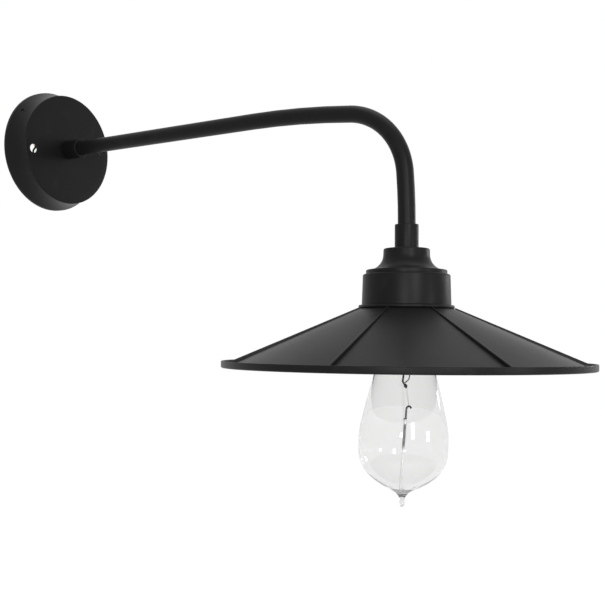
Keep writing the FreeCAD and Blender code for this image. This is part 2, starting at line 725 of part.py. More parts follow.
def shade_rib(turn):
    """Raised rib along the cone that grows taller towards the rim."""
    inner = SHADE_SKIRT_R - SEAT_GAP
    outer = RIM_R - RIM_SHEET - SEAT_GAP
    sunk = SHADE_SHEET / 2
    over_rim = RIM_FOOT + RIM_SHEET + RIM_ROUND + SEAT_GAP
    profile = [Vector(RIB_START_R, 0, skirt_height(RIB_START_R) - sunk),
               Vector(inner, 0, skirt_height(inner) - sunk), Vector(inner, 0, over_rim),
               Vector(outer, 0, over_rim),
               Vector(outer, 0, skirt_height(outer) + RIB_SKIRT_HEIGHT),
               Vector(RIB_START_R, 0, skirt_height(RIB_START_R) + RIB_NECK_HEIGHT)]
    face = Part.Face(Part.makePolygon(profile + profile[:1]))
    rib = face.extrude(Vector(0, RIB_WIDTH, 0))
    rib.translate(Vector(0, -RIB_WIDTH / 2, 0))
    return turned_about_z(rib, turn)


def shade_cone():
    """Spun cone with a flat seat at its neck and raised ribs."""
    slope = math.atan2(SHADE_TOP - SHADE_SKIRT, SHADE_SKIRT_R - SHADE_NECK_R)
    upright = SHADE_SHEET / math.cos(slope)
    under_neck_r = SHADE_NECK_R - SHADE_SHEET * math.tan(slope / 2)
    cone = turned([(SHADE_BORE_R, SHADE_TOP), (SHADE_NECK_R, SHADE_TOP),
                   (SHADE_SKIRT_R, SHADE_SKIRT), (SHADE_SKIRT_R, SHADE_SKIRT - upright),
                   (under_neck_r, SHADE_UNDER), (SHADE_BORE_R, SHADE_UNDER)])
    ribs = [shade_rib(RIB_TURN + 360.0 * number / RIBS) for number in range(RIBS)]
    return on_lamp_axis(cone.multiFuse(ribs).removeSplitter())


def shade_rim():
    """Turned-up rim: a gutter below the skirt with an upright band outside."""
    inner = RIM_R - RIM_SHEET
    rim = turned([(SHADE_SKIRT_R, RIM_FOOT), (RIM_R, RIM_FOOT, 2 * RIM_ROUND),
                  (RIM_R, RIM_TOP, RIM_ROUND), (inner, RIM_TOP, RIM_ROUND),
                  (inner, RIM_FOOT + RIM_SHEET, RIM_ROUND),
                  (SHADE_SKIRT_R, RIM_FOOT + RIM_SHEET)])
    seam = plate(2 * RIM_SEAM_DEPTH, RIM_SEAM_WIDTH, 2 * (RIM_TOP - RIM_FOOT),
                 Vector(RIM_R, 0, RIM_FOOT))
    return on_lamp_axis(rim.cut(turned_about_z(seam, RIM_SEAM_TURN)))


def shade_clamp_ring():
    """Threaded ring that clamps the shade to the lampholder's flange."""
    low = SHADE_UNDER - CLAMP_RING_THICK
    foot = low - CLAMP_COLLAR
    shape = turned([(HOLDER_R, SHADE_UNDER), (CLAMP_RING_R, SHADE_UNDER, SMALL_ROUND),
                    (CLAMP_RING_R, low, SMALL_ROUND), (CLAMP_COLLAR_R, low),
                    (CLAMP_COLLAR_R, foot, SMALL_ROUND), (HOLDER_R, foot)])
    for number in range(CLAMP_NOTCHES):
        notch = disc(CLAMP_NOTCH_R, low, SHADE_UNDER, CLAMP_RING_R)
        shape = shape.cut(turned_about_z(notch, 360.0 * number / CLAMP_NOTCHES))
    return on_lamp_axis(shape)


# ---------------------------------------------------------------- lampholder

def lampholder_cap():
    """Upper half of the lampholder, screwed on the nipple."""
    ceiling = HOLDER_SHOULDER - HOLDER_WALL
    inner = HOLDER_R - HOLDER_WALL
    return on_lamp_axis(turned([(NIPPLE_R, HOLDER_TOP), (HOLDER_NECK_R, HOLDER_TOP, SMALL_ROUND),
                                (HOLDER_NECK_R, HOLDER_SHOULDER),
                                (HOLDER_R, HOLDER_SHOULDER - HOLDER_FALL, HOLDER_ROUND),
                                (HOLDER_R, HOLDER_SPLIT), (inner, HOLDER_SPLIT),
                                (inner, ceiling, HOLDER_ROUND - HOLDER_WALL),
                                (NIPPLE_R, ceiling)]))


def lampholder_shell():
    """Lower half: an outer thread for the clamp ring and a flange above the shade."""
    seat_r = HOLDER_R - HOLDER_WALL
    flange_top = SHADE_TOP + HOLDER_FLANGE
    return on_lamp_axis(turned([(seat_r, HOLDER_SPLIT), (HOLDER_R, HOLDER_SPLIT),
                                (HOLDER_R, flange_top),
                                (HOLDER_FLANGE_R, flange_top, SMALL_ROUND),
                                (HOLDER_FLANGE_R, SHADE_TOP), (HOLDER_R, SHADE_TOP),
                                (HOLDER_R, HOLDER_FOOT, SMALL_ROUND),
                                (HOLDER_BORE_R, HOLDER_FOOT, SMALL_ROUND),
                                (HOLDER_BORE_R, BASE_FOOT), (seat_r, BASE_FOOT)]))


def lampholder_base():
    """Ceramic disc that carries the contacts."""
    return on_lamp_axis(disc(HOLDER_R - HOLDER_WALL - SEAT_GAP, BASE_FOOT, BASE_TOP))


def holder_terminals():
    """Brass posts on the ceramic disc, each drilled for its wire."""
    posts = []
    for side in (1, -1):
        middle = Vector(side * (POST_AT + POST_SIZE / 2), 0, BASE_TOP + POST_HEIGHT / 2)
        post = plate(POST_SIZE, POST_SIZE, POST_HEIGHT, middle)
        start = Vector(side * POST_AT, 0, WIRE_HEIGHT)
        bore = Part.makeCylinder(WIRE_R + SEAT_GAP, POST_WIRE_DEPTH, start, Vector(side, 0, 0))
        posts.append(on_lamp_axis(post.cut(bore)))
    return Part.makeCompound(posts)


def screw_shell():
    """Threaded liner that takes the bulb's cap and feeds its side contact."""
    top = BASE_FOOT
    return on_lamp_axis(turned([(LINER_WINDOW_R, top), (LINER_R, top, LINER_WALL), (LINER_R, LINER_FOOT),
                                (LINER_BORE_R, LINER_FOOT), (LINER_BORE_R, top - LINER_WALL),
                                (LINER_WINDOW_R, top - LINER_WALL)]))


def centre_contact():
    """Springy strip that meets the bulb's centre contact."""
    root = LINER_WINDOW_R - 2 * CONTACT_GAP
    half = SPRING_FLAT / 2
    fold = half + SPRING_SLOPE
    over = SPRING_LOW + SPRING_THICK
    under = BASE_FOOT - SPRING_THICK
    corners = [(root, BASE_FOOT), (fold, BASE_FOOT), (half - SPRING_THICK, over), (-half, over),
               (-half, SPRING_LOW), (half, SPRING_LOW), (fold + SPRING_THICK, under),
               (root, under)]
    strip = outline(corners).extrude(Vector(0, SPRING_WIDTH, 0))
    strip.translate(Vector(0, -SPRING_WIDTH / 2, 0))
    return on_lamp_axis(strip)


# ---------------------------------------------------------------- bulb

def bulb_contact():
    """Solder button on the axis."""
    low = CONTACT_TOP - CONTACT_THICK
    return on_lamp_axis(turned([(0, low), (CONTACT_R, low), (CONTACT_R, CONTACT_TOP, SMALL_ROUND),
                                (0, CONTACT_TOP)]))


def bulb_insulator():
    """Glass plug between the contact and the screw cap."""
    high = CONTACT_TOP - CONTACT_THICK
    inner = BULB_CAP_TOP_R - BULB_CAP_WALL
    return on_lamp_axis(turned([(0, BULB_CAP_TOP - INSULATOR_SUNK),
                                (inner, BULB_CAP_TOP - INSULATOR_SUNK), (inner, BULB_CAP_TOP),
                                (CONTACT_R + SMALL_ROUND, high), (0, high)]))


def bulb_cap():
    """Screw cap about the glass neck."""
    shoulder = BULB_CAP_TOP - BULB_CAP_SHOULDER
    bore = BULB_CAP_R - BULB_CAP_WALL
    mouth = BULB_CAP_TOP_R - BULB_CAP_WALL
    return on_lamp_axis(turned([(mouth, BULB_CAP_TOP), (BULB_CAP_TOP_R, BULB_CAP_TOP),
                                (BULB_CAP_R, shoulder, BULB_CAP_ROUND),
                                (BULB_CAP_R, BULB_CAP_FOOT), (bore, BULB_CAP_FOOT),
                                (bore, shoulder, BULB_CAP_ROUND - BULB_CAP_WALL / 2),
                                (mouth, BULB_CAP_TOP - 2 * BULB_CAP_WALL)]))


def step(point, outwards, down):
    return point + Vector(outwards, 0, -down)


def glass_skin(inset):
    """Pear-shaped skin about Z, moved in by inset; the inner one has no tip."""
    neck_r = GLASS_NECK_R - inset
    heel = Vector(GLASS_HEEL_R - inset, 0, GLASS_HEEL + inset)
    shoulder = Vector(GLASS_SHOULDER_R - inset, 0, GLASS_SHOULDER)
    waist = Vector(GLASS_WAIST_R - inset, 0, GLASS_WAIST)
    widest = Vector(GLASS_MAX_R - inset, 0, GLASS_MAX)
    top = Vector(0, 0, GLASS_NECK_TOP)
    flank = (waist - shoulder).normalize()
    # The flank runs straight and then swells in a curve that is upright at the widest place.
    meet = waist + flank * GLASS_STRAIGHT
    swell = Part.BezierCurve()
    swell.setPoles([meet, meet + flank * SWELL_ENTRY, step(widest, 0, -SWELL_EXIT), widest])
    foot = Part.BezierCurve()
    foot.setPoles([widest, step(widest, 0, FOOT_ENTRY), step(heel, HEEL_PULL[0], -HEEL_PULL[1]),
                   heel])
    edges = [Part.makeLine(top, Vector(neck_r, 0, top.z)),
             Part.makeLine(Vector(neck_r, 0, top.z), Vector(neck_r, 0, BULB_CAP_FOOT)),
             Part.makeLine(Vector(neck_r, 0, BULB_CAP_FOOT), shoulder),
             Part.makeLine(shoulder, meet), swell.toShape(), foot.toShape()]
    if inset > 0:
        low = Vector(0, 0, heel.z)
        edges += [Part.makeLine(heel, low), Part.makeLine(low, top)]
    else:
        edges += tip_edges(heel)
        edges.append(Part.makeLine(Vector(0, 0, TIP_END), top))
    return Part.Face(Part.Wire(edges)).revolve(Vector(0, 0, 0), Vector(0, 0, 1), 360)


def tip_edges(heel):
    """Drawn-out tip: a funnel, a thin neck and a small bead."""
    neck = Vector(TIP_NECK_R, 0, TIP_NECK)
    funnel = Part.BezierCurve()
    funnel.setPoles([heel, step(heel, -FUNNEL_ENTRY[0], FUNNEL_ENTRY[1]),
                     step(neck, FUNNEL_EXIT[0], -FUNNEL_EXIT[1]), neck])
    centre = TIP_END + TIP_BEAD_R
    bead = Vector(TIP_BEAD_R, 0, centre)
    belly = Vector(TIP_BEAD_R * math.sqrt(0.5), 0, centre - TIP_BEAD_R * math.sqrt(0.5))
    end = Vector(0, 0, TIP_END)
    return [funnel.toShape(), Part.makeLine(neck, bead), Part.Arc(bead, belly, end).toShape()]


def glass_envelope():
    """The bulb's glass before it leans."""
    return glass_skin(0).cut(glass_skin(GLASS_WALL))


def bulb_glass():
    return leaning(glass_envelope())


def bulb_stem():
    """Glass tube with a flared top and a flattened press that holds the leads."""
    flare_r = GLASS_NECK_R - GLASS_WALL
    tube = turned([(STEM_BORE_R, STEM_FLARE), (flare_r, STEM_FLARE),
                   (flare_r, STEM_FLARE - STEM_FLARE_THICK),
                   (STEM_R, STEM_FLARE - STEM_FLARE_DEPTH, STEM_ROUND), (STEM_R, STEM_PRESS),
                   (STEM_BORE_R, STEM_PRESS)])
    press = plate(2 * STEM_R, STEM_PRESS_THICK, STEM_PRESS - STEM_END,
                  Vector(0, 0, (STEM_PRESS + STEM_END) / 2))
    floor = disc(STEM_R, STEM_PRESS, STEM_PRESS + STEM_FLOOR)
    shape = tube.fuse(floor).fuse(press).removeSplitter()
    return leaning(turned_about_z(shape, LEAN_TURN))


def inner_point(place):
    """Point inside the bulb; sideways is towards the side that the glass leans to."""
    sideways, height, across = place
    turn = math.radians(LEAN_TURN)
    return Vector(sideways * math.cos(turn) - across * math.sin(turn),
                  sideways * math.sin(turn) + across * math.cos(turn), height)


def thin_piece(places, bend_radius, radius):
    """Fine round wire through places inside the bulb, before the glass leans."""
    points = [inner_point(place) for place in places]
    return swept(rounded_edges(points, [bend_radius] * (len(points) - 2)), radius)


def lead_pair():
    return [thin_piece(line, LEAD_BEND_R, LEAD_R) for line in (LEFT_LEAD, RIGHT_LEAD)]


def bulb_leads():
    """Two wires that hang from the press and hold the filament's ends."""
    return leaning(Part.makeCompound(lead_pair()))


def bulb_hook():
    """Support hook in the head of the glass rod."""
    return leaning(thin_piece(HOOK_LINE, HOOK_BEND_R, HOOK_R))


def bulb_rod():
    """Glass rod that stands up inside from the tip and swells at its head."""
    shaft = thin_piece((ROD_FOOT, ROD_NECK), 0, ROD_R)
    top = HOOK_LINE[0][1]
    low = top - ROD_HEAD
    head = turned([(0, low), (ROD_HEAD_R, low + ROD_HEAD_R, SMALL_ROUND),
                   (ROD_HEAD_R, top, SMALL_ROUND), (0, top)])
    head.translate(inner_point((ROD_NECK[0], 0.0, 0.0)))
    return leaning(shaft.fuse(head).removeSplitter().cut(glass_envelope()))


def bulb_filament():
    """Fine hairpin from one lead, under the hook and back to the other lead."""
    thread = thin_piece(FILAMENT_LINE, FILAMENT_BEND_R, FILAMENT_R)
    return leaning(thread.cut(Part.makeCompound(lead_pair())))


# ---------------------------------------------------------------- all pieces

PIECES = (
    wall_canopy, mounting_strap, canopy_set_screws, terminal_block, terminal_screws,
    earth_screw, earth_tags, earth_lead, arm_base_collar, arm_base_nipple, arm_base_nut,
    arm_base_washer, wire_bush, arm_tube, arm_end_collar, head_nipple, head_lock_nut,
    head_lock_washer, live_wire, neutral_wire, holder_cap, holder_cup, gallery_ring,
    shade_cone, shade_rim, shade_clamp_ring, lampholder_cap, lampholder_shell,
    lampholder_base, holder_terminals, screw_shell, centre_contact, bulb_contact,
    bulb_insulator, bulb_cap, bulb_glass, bulb_stem, bulb_leads, bulb_hook, bulb_rod,
    bulb_filament,
)


def main():
    os.makedirs("parts", exist_ok=True)
    for make in PIECES:
        shape = make()
        if not shape.isValid():
            raise RuntimeError("%s is not a valid shape" % make.__name__)
        solids = shape.Solids
        if not solids:
            raise RuntimeError("%s has no solid" % make.__name__)
        if len(solids) == 1:
            shape = solids[0]
        shape.exportStep("parts/%s.step" % make.__name__)
        print("%-20s %d solid(s) %10.1f mm3" % (make.__name__, len(solids), shape.Volume))


main()
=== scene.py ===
import json
import math

import bmesh
import bpy
import numpy as np
from mathutils import Matrix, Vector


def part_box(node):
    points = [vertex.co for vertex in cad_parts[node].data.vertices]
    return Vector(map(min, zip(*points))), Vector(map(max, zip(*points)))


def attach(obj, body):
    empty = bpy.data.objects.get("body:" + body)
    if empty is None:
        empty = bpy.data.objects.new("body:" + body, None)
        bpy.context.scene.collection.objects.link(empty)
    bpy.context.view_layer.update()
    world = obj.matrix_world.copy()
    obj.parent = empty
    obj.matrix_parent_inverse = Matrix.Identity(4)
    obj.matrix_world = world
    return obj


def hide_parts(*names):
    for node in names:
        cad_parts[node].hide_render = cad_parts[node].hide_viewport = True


bl_info = {
    "name": "Gooseneck wall sconce",
    "version": (1, 0, 0),
    "blender": (4, 5, 0),
    "location": "View3D > Sidebar > Sconce",
    "description": "Dresses the packed model of a gooseneck wall sconce and sets up its studio",
    "category": "Object",
}

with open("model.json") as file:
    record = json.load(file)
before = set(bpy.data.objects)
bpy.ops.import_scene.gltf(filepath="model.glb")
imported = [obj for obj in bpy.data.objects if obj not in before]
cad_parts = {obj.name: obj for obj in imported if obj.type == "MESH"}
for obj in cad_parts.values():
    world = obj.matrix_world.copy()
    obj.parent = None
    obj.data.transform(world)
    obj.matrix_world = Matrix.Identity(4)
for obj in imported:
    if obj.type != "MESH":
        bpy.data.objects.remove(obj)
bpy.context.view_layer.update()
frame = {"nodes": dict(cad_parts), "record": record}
MM = 0.001


def span(node, axis=2):
    """A node's lowest and highest place along an axis, in millimetres."""
    low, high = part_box(node)
    return low[axis] / MM, high[axis] / MM


def reach(node, axis):
    """Half of a node's measure along an axis, in millimetres."""
    low, high = span(node, axis)
    return (high - low) / 2


LAMP_Y = sum(span("bulb_contact", 1)) / 2
RIM_R = reach("shade_rim", 0)
CANOPY_BACK_R = reach("wall_canopy", 0)
CANOPY_DEPTH = -span("wall_canopy", 1)[0]
SHADE_SEAT = span("gallery_ring")[0]        # the shade's flat seat, under the gallery ring


# ---------------------------------------------------------------- properties

def length(name, description, millimetres):
    """A size that is stored in metres."""
    return bpy.props.FloatProperty(name=name, description=description, default=millimetres * MM,
                                   unit="LENGTH", subtype="DISTANCE", precision=4)


def angle(name, description, degrees):
    return bpy.props.FloatProperty(name=name, description=description,
                                   default=math.radians(degrees), unit="ROTATION")


def colour(name, description, value):
    return bpy.props.FloatVectorProperty(name=name, description=description, default=value,
                                         subtype="COLOR", size=3, min=0.0, max=1.0)


def amount(name, description, value, high=1.0):
    return bpy.props.FloatProperty(name=name, description=description, default=value,
                                   min=0.0, max=high, subtype="FACTOR")


def watts(name, description, value):
    return bpy.props.FloatProperty(name=name, description=description, default=value, min=0.0,
                                   unit="POWER")


class SconceSizes(bpy.types.PropertyGroup):
    tube_radius: length("Tube radius", "Outside radius of the bent arm", 6.35)
    tube_wall: length("Tube wall", "Wall of the bent arm", 1.0)
    canopy_wall: length("Canopy wall", "Sheet of the wall canopy", 1.5)
    canopy_hollow: length("Canopy hollow", "How far the canopy's side curves in", 1.2)
    face_hole_radius: length("Face hole radius", "Radius of the two holes in the canopy's face",
                             4.0)
    shade_sheet: length("Shade sheet", "Thickness of the shade's metal", 1.2)
    rib_count: bpy.props.IntProperty(name="Ribs", description="Raised ribs on the shade",
                                     default=7, min=3, max=24, subtype="UNSIGNED")
    rib_width: length("Rib width", "Width of a rib at its foot", 1.8)
    rib_neck_height: length("Rib height at neck", "Rib's height at the gallery", 0.9)
    rib_skirt_height: length("Rib height at rim", "Rib's height at the rim", 2.4)
    rim_sheet: length("Rim sheet", "Thickness of the upturned rim", 1.0)
    glass_wall: length("Glass wall", "Thickness of the bulb's glass", 0.7)
    thread_pitch: length("Thread pitch", "Pitch of the lamp thread", 3.62)
    thread_depth: length("Thread depth", "Depth of the rolled lamp thread", 0.8)


class SconceFinish(bpy.types.PropertyGroup):
    paint: colour("Paint", "Satin black paint of the metalwork", (0.0062, 0.0062, 0.0066))
    paint_roughness: amount("Paint roughness", "How matt the black paint is", 0.4)
    paint_shine: amount("Paint shine", "Strength of the black paint's reflections", 0.11)
    zinc: colour("Zinc", "Plated steel inside the canopy", (0.55, 0.56, 0.57))
    blackened: colour("Blackened steel", "Set screws in the canopy's side", (0.02, 0.02, 0.021))
    solder: colour("Solder", "Contact under the bulb's cap", (0.5, 0.5, 0.49))
    brass: colour("Brass", "Contacts, liner and bulb cap", (0.72, 0.52, 0.24))
    resin: colour("Resin", "Moulded lampholder", (0.016, 0.016, 0.017))
    ceramic: colour("Ceramic", "Disc that carries the contacts", (0.82, 0.8, 0.74))
    black_glass: colour("Black glass", "Plug in the bulb's cap", (0.015, 0.015, 0.02))
    white_plastic: colour("White plastic", "Terminal block and bush", (0.78, 0.76, 0.7))
    live: colour("Live wire", "Insulation of the live wire", (0.14, 0.05, 0.02))
    neutral: colour("Neutral wire", "Insulation of the neutral wire", (0.01, 0.06, 0.34))
    earth: colour("Earth wire", "Insulation of the earth lead", (0.06, 0.22, 0.03))
    glass_tint: colour("Glass tint", "Colour of the bulb's glass", (0.93, 0.93, 0.927))
    glass_shade: colour("Glass shade", "Colour that the glass fades to", (0.3, 0.3, 0.3))
    glass_depth: bpy.props.FloatProperty(
        name="Glass depth", default=95.0, min=0.0, subtype="UNSIGNED",
        description="How fast light fades inside the glass, per metre")
    # White of the support rod's lower part and head: a painted highlight standing in for strong
    # light on the rod, not a milkier glass.
    rod_highlight_white: colour("Rod milk", "Milky glass of the support rod", (0.97, 0.97, 0.96))
    rod_grey: colour("Rod grey", "The rod's greyer upper part", (0.3, 0.3, 0.3))
    filament: colour("Filament metal", "Leads, hook and filament", (0.11, 0.105, 0.1))


class SconceStage(bpy.types.PropertyGroup):
    paper: colour("Paper", "Background and floor", (1.0, 1.0, 1.0))
    floor_level: length("Floor level", "Height of the floor", -900.0)
    floor_glow: amount("Floor glow", "Light that keeps the floor white to the camera", 0.72)
    room_light: amount("Room light", "Plain light from all round", 0.35, 2.0)
    key_watts: watts("Key light", "Tall soft light in front, on the right", 10.0)
    side_watts: watts("Side light", "Small soft light on the room side", 5.0)
    right_watts: watts("Right light", "Soft light on the right", 2.5)
    front_watts: watts("Front light", "Small light beside the camera", 7.0)
    top_watts: watts("Top light", "Soft light above", 6.0)


# ---------------------------------------------------------------- surfaces

def corner_arc(before, here, after, radius, steps):
    """Arc that rounds the corner between two runs.  The runs meet it radius / tan(half the
    corner's angle) from the corner, its centre is radius / sin(half) along the bisector, and a
    point on it is the two end spokes weighted by the sines of the angles to the other end."""
    back = (before - here) / np.linalg.norm(before - here)
    ahead = (after - here) / np.linalg.norm(after - here)
    half = math.acos(np.clip(back @ ahead, -1, 1)) / 2
    bisector = (back + ahead) / np.linalg.norm(back + ahead)
    centre = here + bisector * radius / math.sin(half)
    start = here + back * radius / math.tan(half) - centre
    stop = here + ahead * radius / math.tan(half) - centre
    sweep = math.pi - 2 * half
    share = np.linspace(0, 1, steps + 1)[:, None]
    arc = np.sin((1 - share) * sweep) * start + np.sin(share * sweep) * stop
    return centre + arc / math.sin(sweep)


def rounded_path(points, radii, steps):
    """Straight runs, in the plane or in space, with each inner corner rounded by its radius."""
    points = [np.array(point, float) for point in points]
    out = [points[:1]]
    for before, here, after, radius in zip(points, points[1:], points[2:], radii):
        out.append(corner_arc(before, here, after, radius, steps) if radius else [here])
    return np.concatenate(out + [points[-1:]])


def rounded_line(corners, steps=6):
    """Outline in the (radius, height) plane; a corner's third number is its rounding."""
    roundings = [corner[2] if len(corner) > 2 else 0.0 for corner in corners[1:-1]]
    return rounded_path([corner[:2] for corner in corners], roundings, steps)


def arc_through(start, via, stop, steps):
    """Points of the circle through three points, from start to stop: the centre is where the
    two chords' perpendicular bisectors meet, and the angle runs evenly between the ends."""
    start, via, stop = (np.array(point, float) for point in (start, via, stop))
    sides = 2 * np.array([via - start, stop - start])
    squares = np.array([via @ via - start @ start, stop @ stop - start @ start])
    centre = np.linalg.solve(sides, squares)
    ends = [math.atan2(*(point - centre)[::-1]) for point in (start, via, stop)]
    turn = (ends[2] - ends[0] + math.pi) % (2 * math.pi) - math.pi
    angle = ends[0] + turn * np.linspace(0, 1, steps + 1)
    radius = np.linalg.norm(start - centre)
    return centre + radius * np.stack([np.cos(angle), np.sin(angle)], 1)


def bezier(points, steps):
    """Cubic curve: the four points weighted by (1-t)^3, 3t(1-t)^2, 3t^2(1-t) and t^3."""
    p = np.array(points, float)
    t = np.linspace(0, 1, steps + 1)[:, None]
    return ((1 - t) ** 3 * p[0] + 3 * t * (1 - t) ** 2 * p[1] + 3 * t ** 2 * (1 - t) * p[2]
            + t ** 3 * p[3])


def run(start, stop, steps):
    """Evenly spaced points from start to stop."""
    share = np.linspace(0, 1, steps + 1)[:, None]
    return np.array(start, float) * (1 - share) + np.array(stop, float) * share


def grid_faces(rows, columns, wrap_rows, wrap_columns=True):
    """Four-sided faces between neighbouring rows and columns of a grid of points."""
    row, column = np.meshgrid(np.arange(rows if wrap_rows else rows - 1),
                              np.arange(columns if wrap_columns else columns - 1), indexing="ij")
    down = (row + 1) % rows
    right = (column + 1) % columns
    corners = [row * columns + column, row * columns + right, down * columns + right,
               down * columns + column]
    return np.stack(corners, -1).reshape(-1, 4)


def turned(profile, closed, turns=160, angles=None, shift=None):
    """Surface of revolution: (r cos a, r sin a, z) for each profile point (r, z) and angle a.
    shift(r, z, a) may return a change of radius for every point of the grid."""
    if angles is None:
        angles = np.linspace(0, 2 * math.pi, turns, endpoint=False)
    radius, angle = np.meshgrid(profile[:, 0], angles, indexing="ij")
    level = np.repeat(profile[:, 1:2], len(angles), axis=1)
    if shift is not None:
        radius = radius + shift(radius, level, angle)
    points = np.stack([radius * np.cos(angle), radius * np.sin(angle), level], -1)
    return points.reshape(-1, 3), grid_faces(len(profile), len(angles), closed)


def carried(path, section, across, scale=1.0):
    """Points of a section carried along a path.  At each path point the section's first number
    goes along `across` made square to the path, and its second along the tangent times that."""
    across = np.array(across, float)
    tangent = np.gradient(path, axis=0)
    tangent /= np.linalg.norm(tangent, axis=1)[:, None]
    side = across - tangent * (tangent @ across)[:, None]
    side /= np.linalg.norm(side, axis=1)[:, None]
    up = np.cross(tangent, side)
    grown = section[None] * np.broadcast_to(scale, len(path))[:, None, None]
    points = path[:, None] + side[:, None] * grown[..., :1] + up[:, None] * grown[..., 1:]
    return points.reshape(-1, 3)


def capped(points, count):
    """Shell of a carried section, closed by drawing its end rings in to their middles."""
    first = np.repeat(points[:count].mean(0)[None], count, 0)
    last = np.repeat(points[-count:].mean(0)[None], count, 0)
    points = np.concatenate([first, points, last])
    return points, grid_faces(len(points) // count, count, False)


def circle(radius, count):
    """Points (radius cos a, radius sin a) round a circle."""
    angle = np.linspace(0, 2 * math.pi, count, endpoint=False)
    return radius * np.stack([np.cos(angle), np.sin(angle)], 1)


def evenly(path, spacing):
    """The same line with points added at even steps along it, straight between its own."""
    along = np.concatenate([[0], np.cumsum(np.linalg.norm(np.diff(path, axis=0), axis=1))])
    steps = max(2, int(along[-1] / spacing) + 1)
    keep = np.union1d(along, np.linspace(0, along[-1], steps))
    keep = keep[np.concatenate([[True], np.diff(keep) > spacing * 0.05])]
    return np.stack([np.interp(keep, along, column) for column in path.T], 1)


def evenly_round(outline, spacing):
    """The same for an outline that ends where it starts, which is left open."""
    return evenly(np.concatenate([outline, outline[:1]]), spacing)[:-1]


def spun(points, angle):
    """Points turned about Z: (x cos a - y sin a, x sin a + y cos a, z)."""
    x, y, z = np.moveaxis(np.array(points, float), -1, 0)
    return np.stack([x * math.cos(angle) - y * math.sin(angle),
                     x * math.sin(angle) + y * math.cos(angle), z], -1)


def thread_wave(level, angle, pitch):
    """Depth of a round thread: half of 1 - cos of the turns along its helix."""
    return 0.5 - 0.5 * np.cos(2 * math.pi * (level / pitch + angle / (2 * math.pi)))


def rising(value, start, reach):
    """0 up to start, 1 from start + reach on, and straight between; reach may be negative."""
    return np.clip((value - start) / reach, 0, 1)


def as_made(points):
    return points


def out_of_wall(points):
    """Points made about Z, with Z turned into the distance out of the wall."""
    return np.stack([points[:, 0], -points[:, 2], points[:, 1]], 1)


def on_lamp_axis(points):
    return points + np.array([0.0, LAMP_Y, 0.0])


# ---------------------------------------------------------------- pieces

def shell_mesh(name, shells, place):
    """A mesh from closed shells of (points in millimetres, faces), with doubles merged at its
    seams and poles and its normals outwards."""
    mesh = bpy.data.meshes.new(name)
    points, faces, offset = [], [], 0
    for shell_points, shell_faces in shells:
        points.append(place(shell_points) * MM)
        faces.append(shell_faces + offset)
        offset += len(shell_points)
    mesh.from_pydata(np.concatenate(points).tolist(), [], np.concatenate(faces).tolist())
    work = bmesh.new()
    work.from_mesh(mesh)
    bmesh.ops.remove_doubles(work, verts=work.verts, dist=1e-7)
    bmesh.ops.recalc_face_normals(work, faces=work.faces)
    work.to_mesh(mesh)
    work.free()
    if not mesh.polygons:
        raise RuntimeError(name + " came out empty")
    return mesh


def keep_edges(mesh, sharp):
    """Smooth shading with an edge kept hard where it turns by more than sharp degrees."""
    mesh.shade_smooth()
    mesh.set_sharp_from_angle(angle=math.radians(sharp))


def slot_of(node):
    """The record's material slot of a CAD node."""
    for entry in frame["record"]["subparts"]:
        if entry["node"] == node:
            return entry["material_slot"]
    raise RuntimeError(node + " has no material slot")


def piece(name, shells, body, node, sharp=32.0, place=on_lamp_axis, finish=None):
    """One object from closed shells, in place of a CAD node and in its slot's finish."""
    mesh = shell_mesh(name, shells, place)
    keep_edges(mesh, sharp)
    made = bpy.data.objects.new(name, mesh)
    bpy.context.scene.collection.objects.link(made)
    mesh.materials.append(finishes()[finish or slot_of(node)])
    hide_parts(node)
    slot_of(node)
    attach(made, body)
    return made


def cut_away(obj, cutters, place):
    """Take closed shells away from an object, and keep its hard edges hard."""
    tool = bpy.data.objects.new("cutter", shell_mesh("cutter", cutters, place))
    bpy.context.scene.collection.objects.link(tool)
    step = obj.modifiers.new("holes", "BOOLEAN")
    step.operation = "DIFFERENCE"
    step.solver = "EXACT"
    step.object = tool
    whole = obj.evaluated_get(bpy.context.evaluated_depsgraph_get())
    result = bpy.data.meshes.new_from_object(whole)
    obj.modifiers.clear()
    obj.data = result
    bpy.data.objects.remove(tool)
    keep_edges(result, 28)


# ---------------------------------------------------------------- finishes

class Varying:
    """A number that changes over a surface: wraps an output socket, and sums on it add nodes."""

    def __init__(self, recipe, socket):
        self.recipe = recipe
        self.socket = socket

    def _sum(self, operation, first, second):
        node = self.recipe.add("ShaderNodeMath", {"operation": operation}, {0: first, 1: second})
        return Varying(self.recipe, node.outputs[0])

    def __add__(self, other):
        return self._sum("ADD", self, other)

    def __sub__(self, other):
        return self._sum("SUBTRACT", self, other)

    def __rsub__(self, other):
        return self._sum("SUBTRACT", other, self)

    def __mul__(self, other):
        return self._sum("MULTIPLY", self, other)

    __radd__ = __add__
    __rmul__ = __mul__


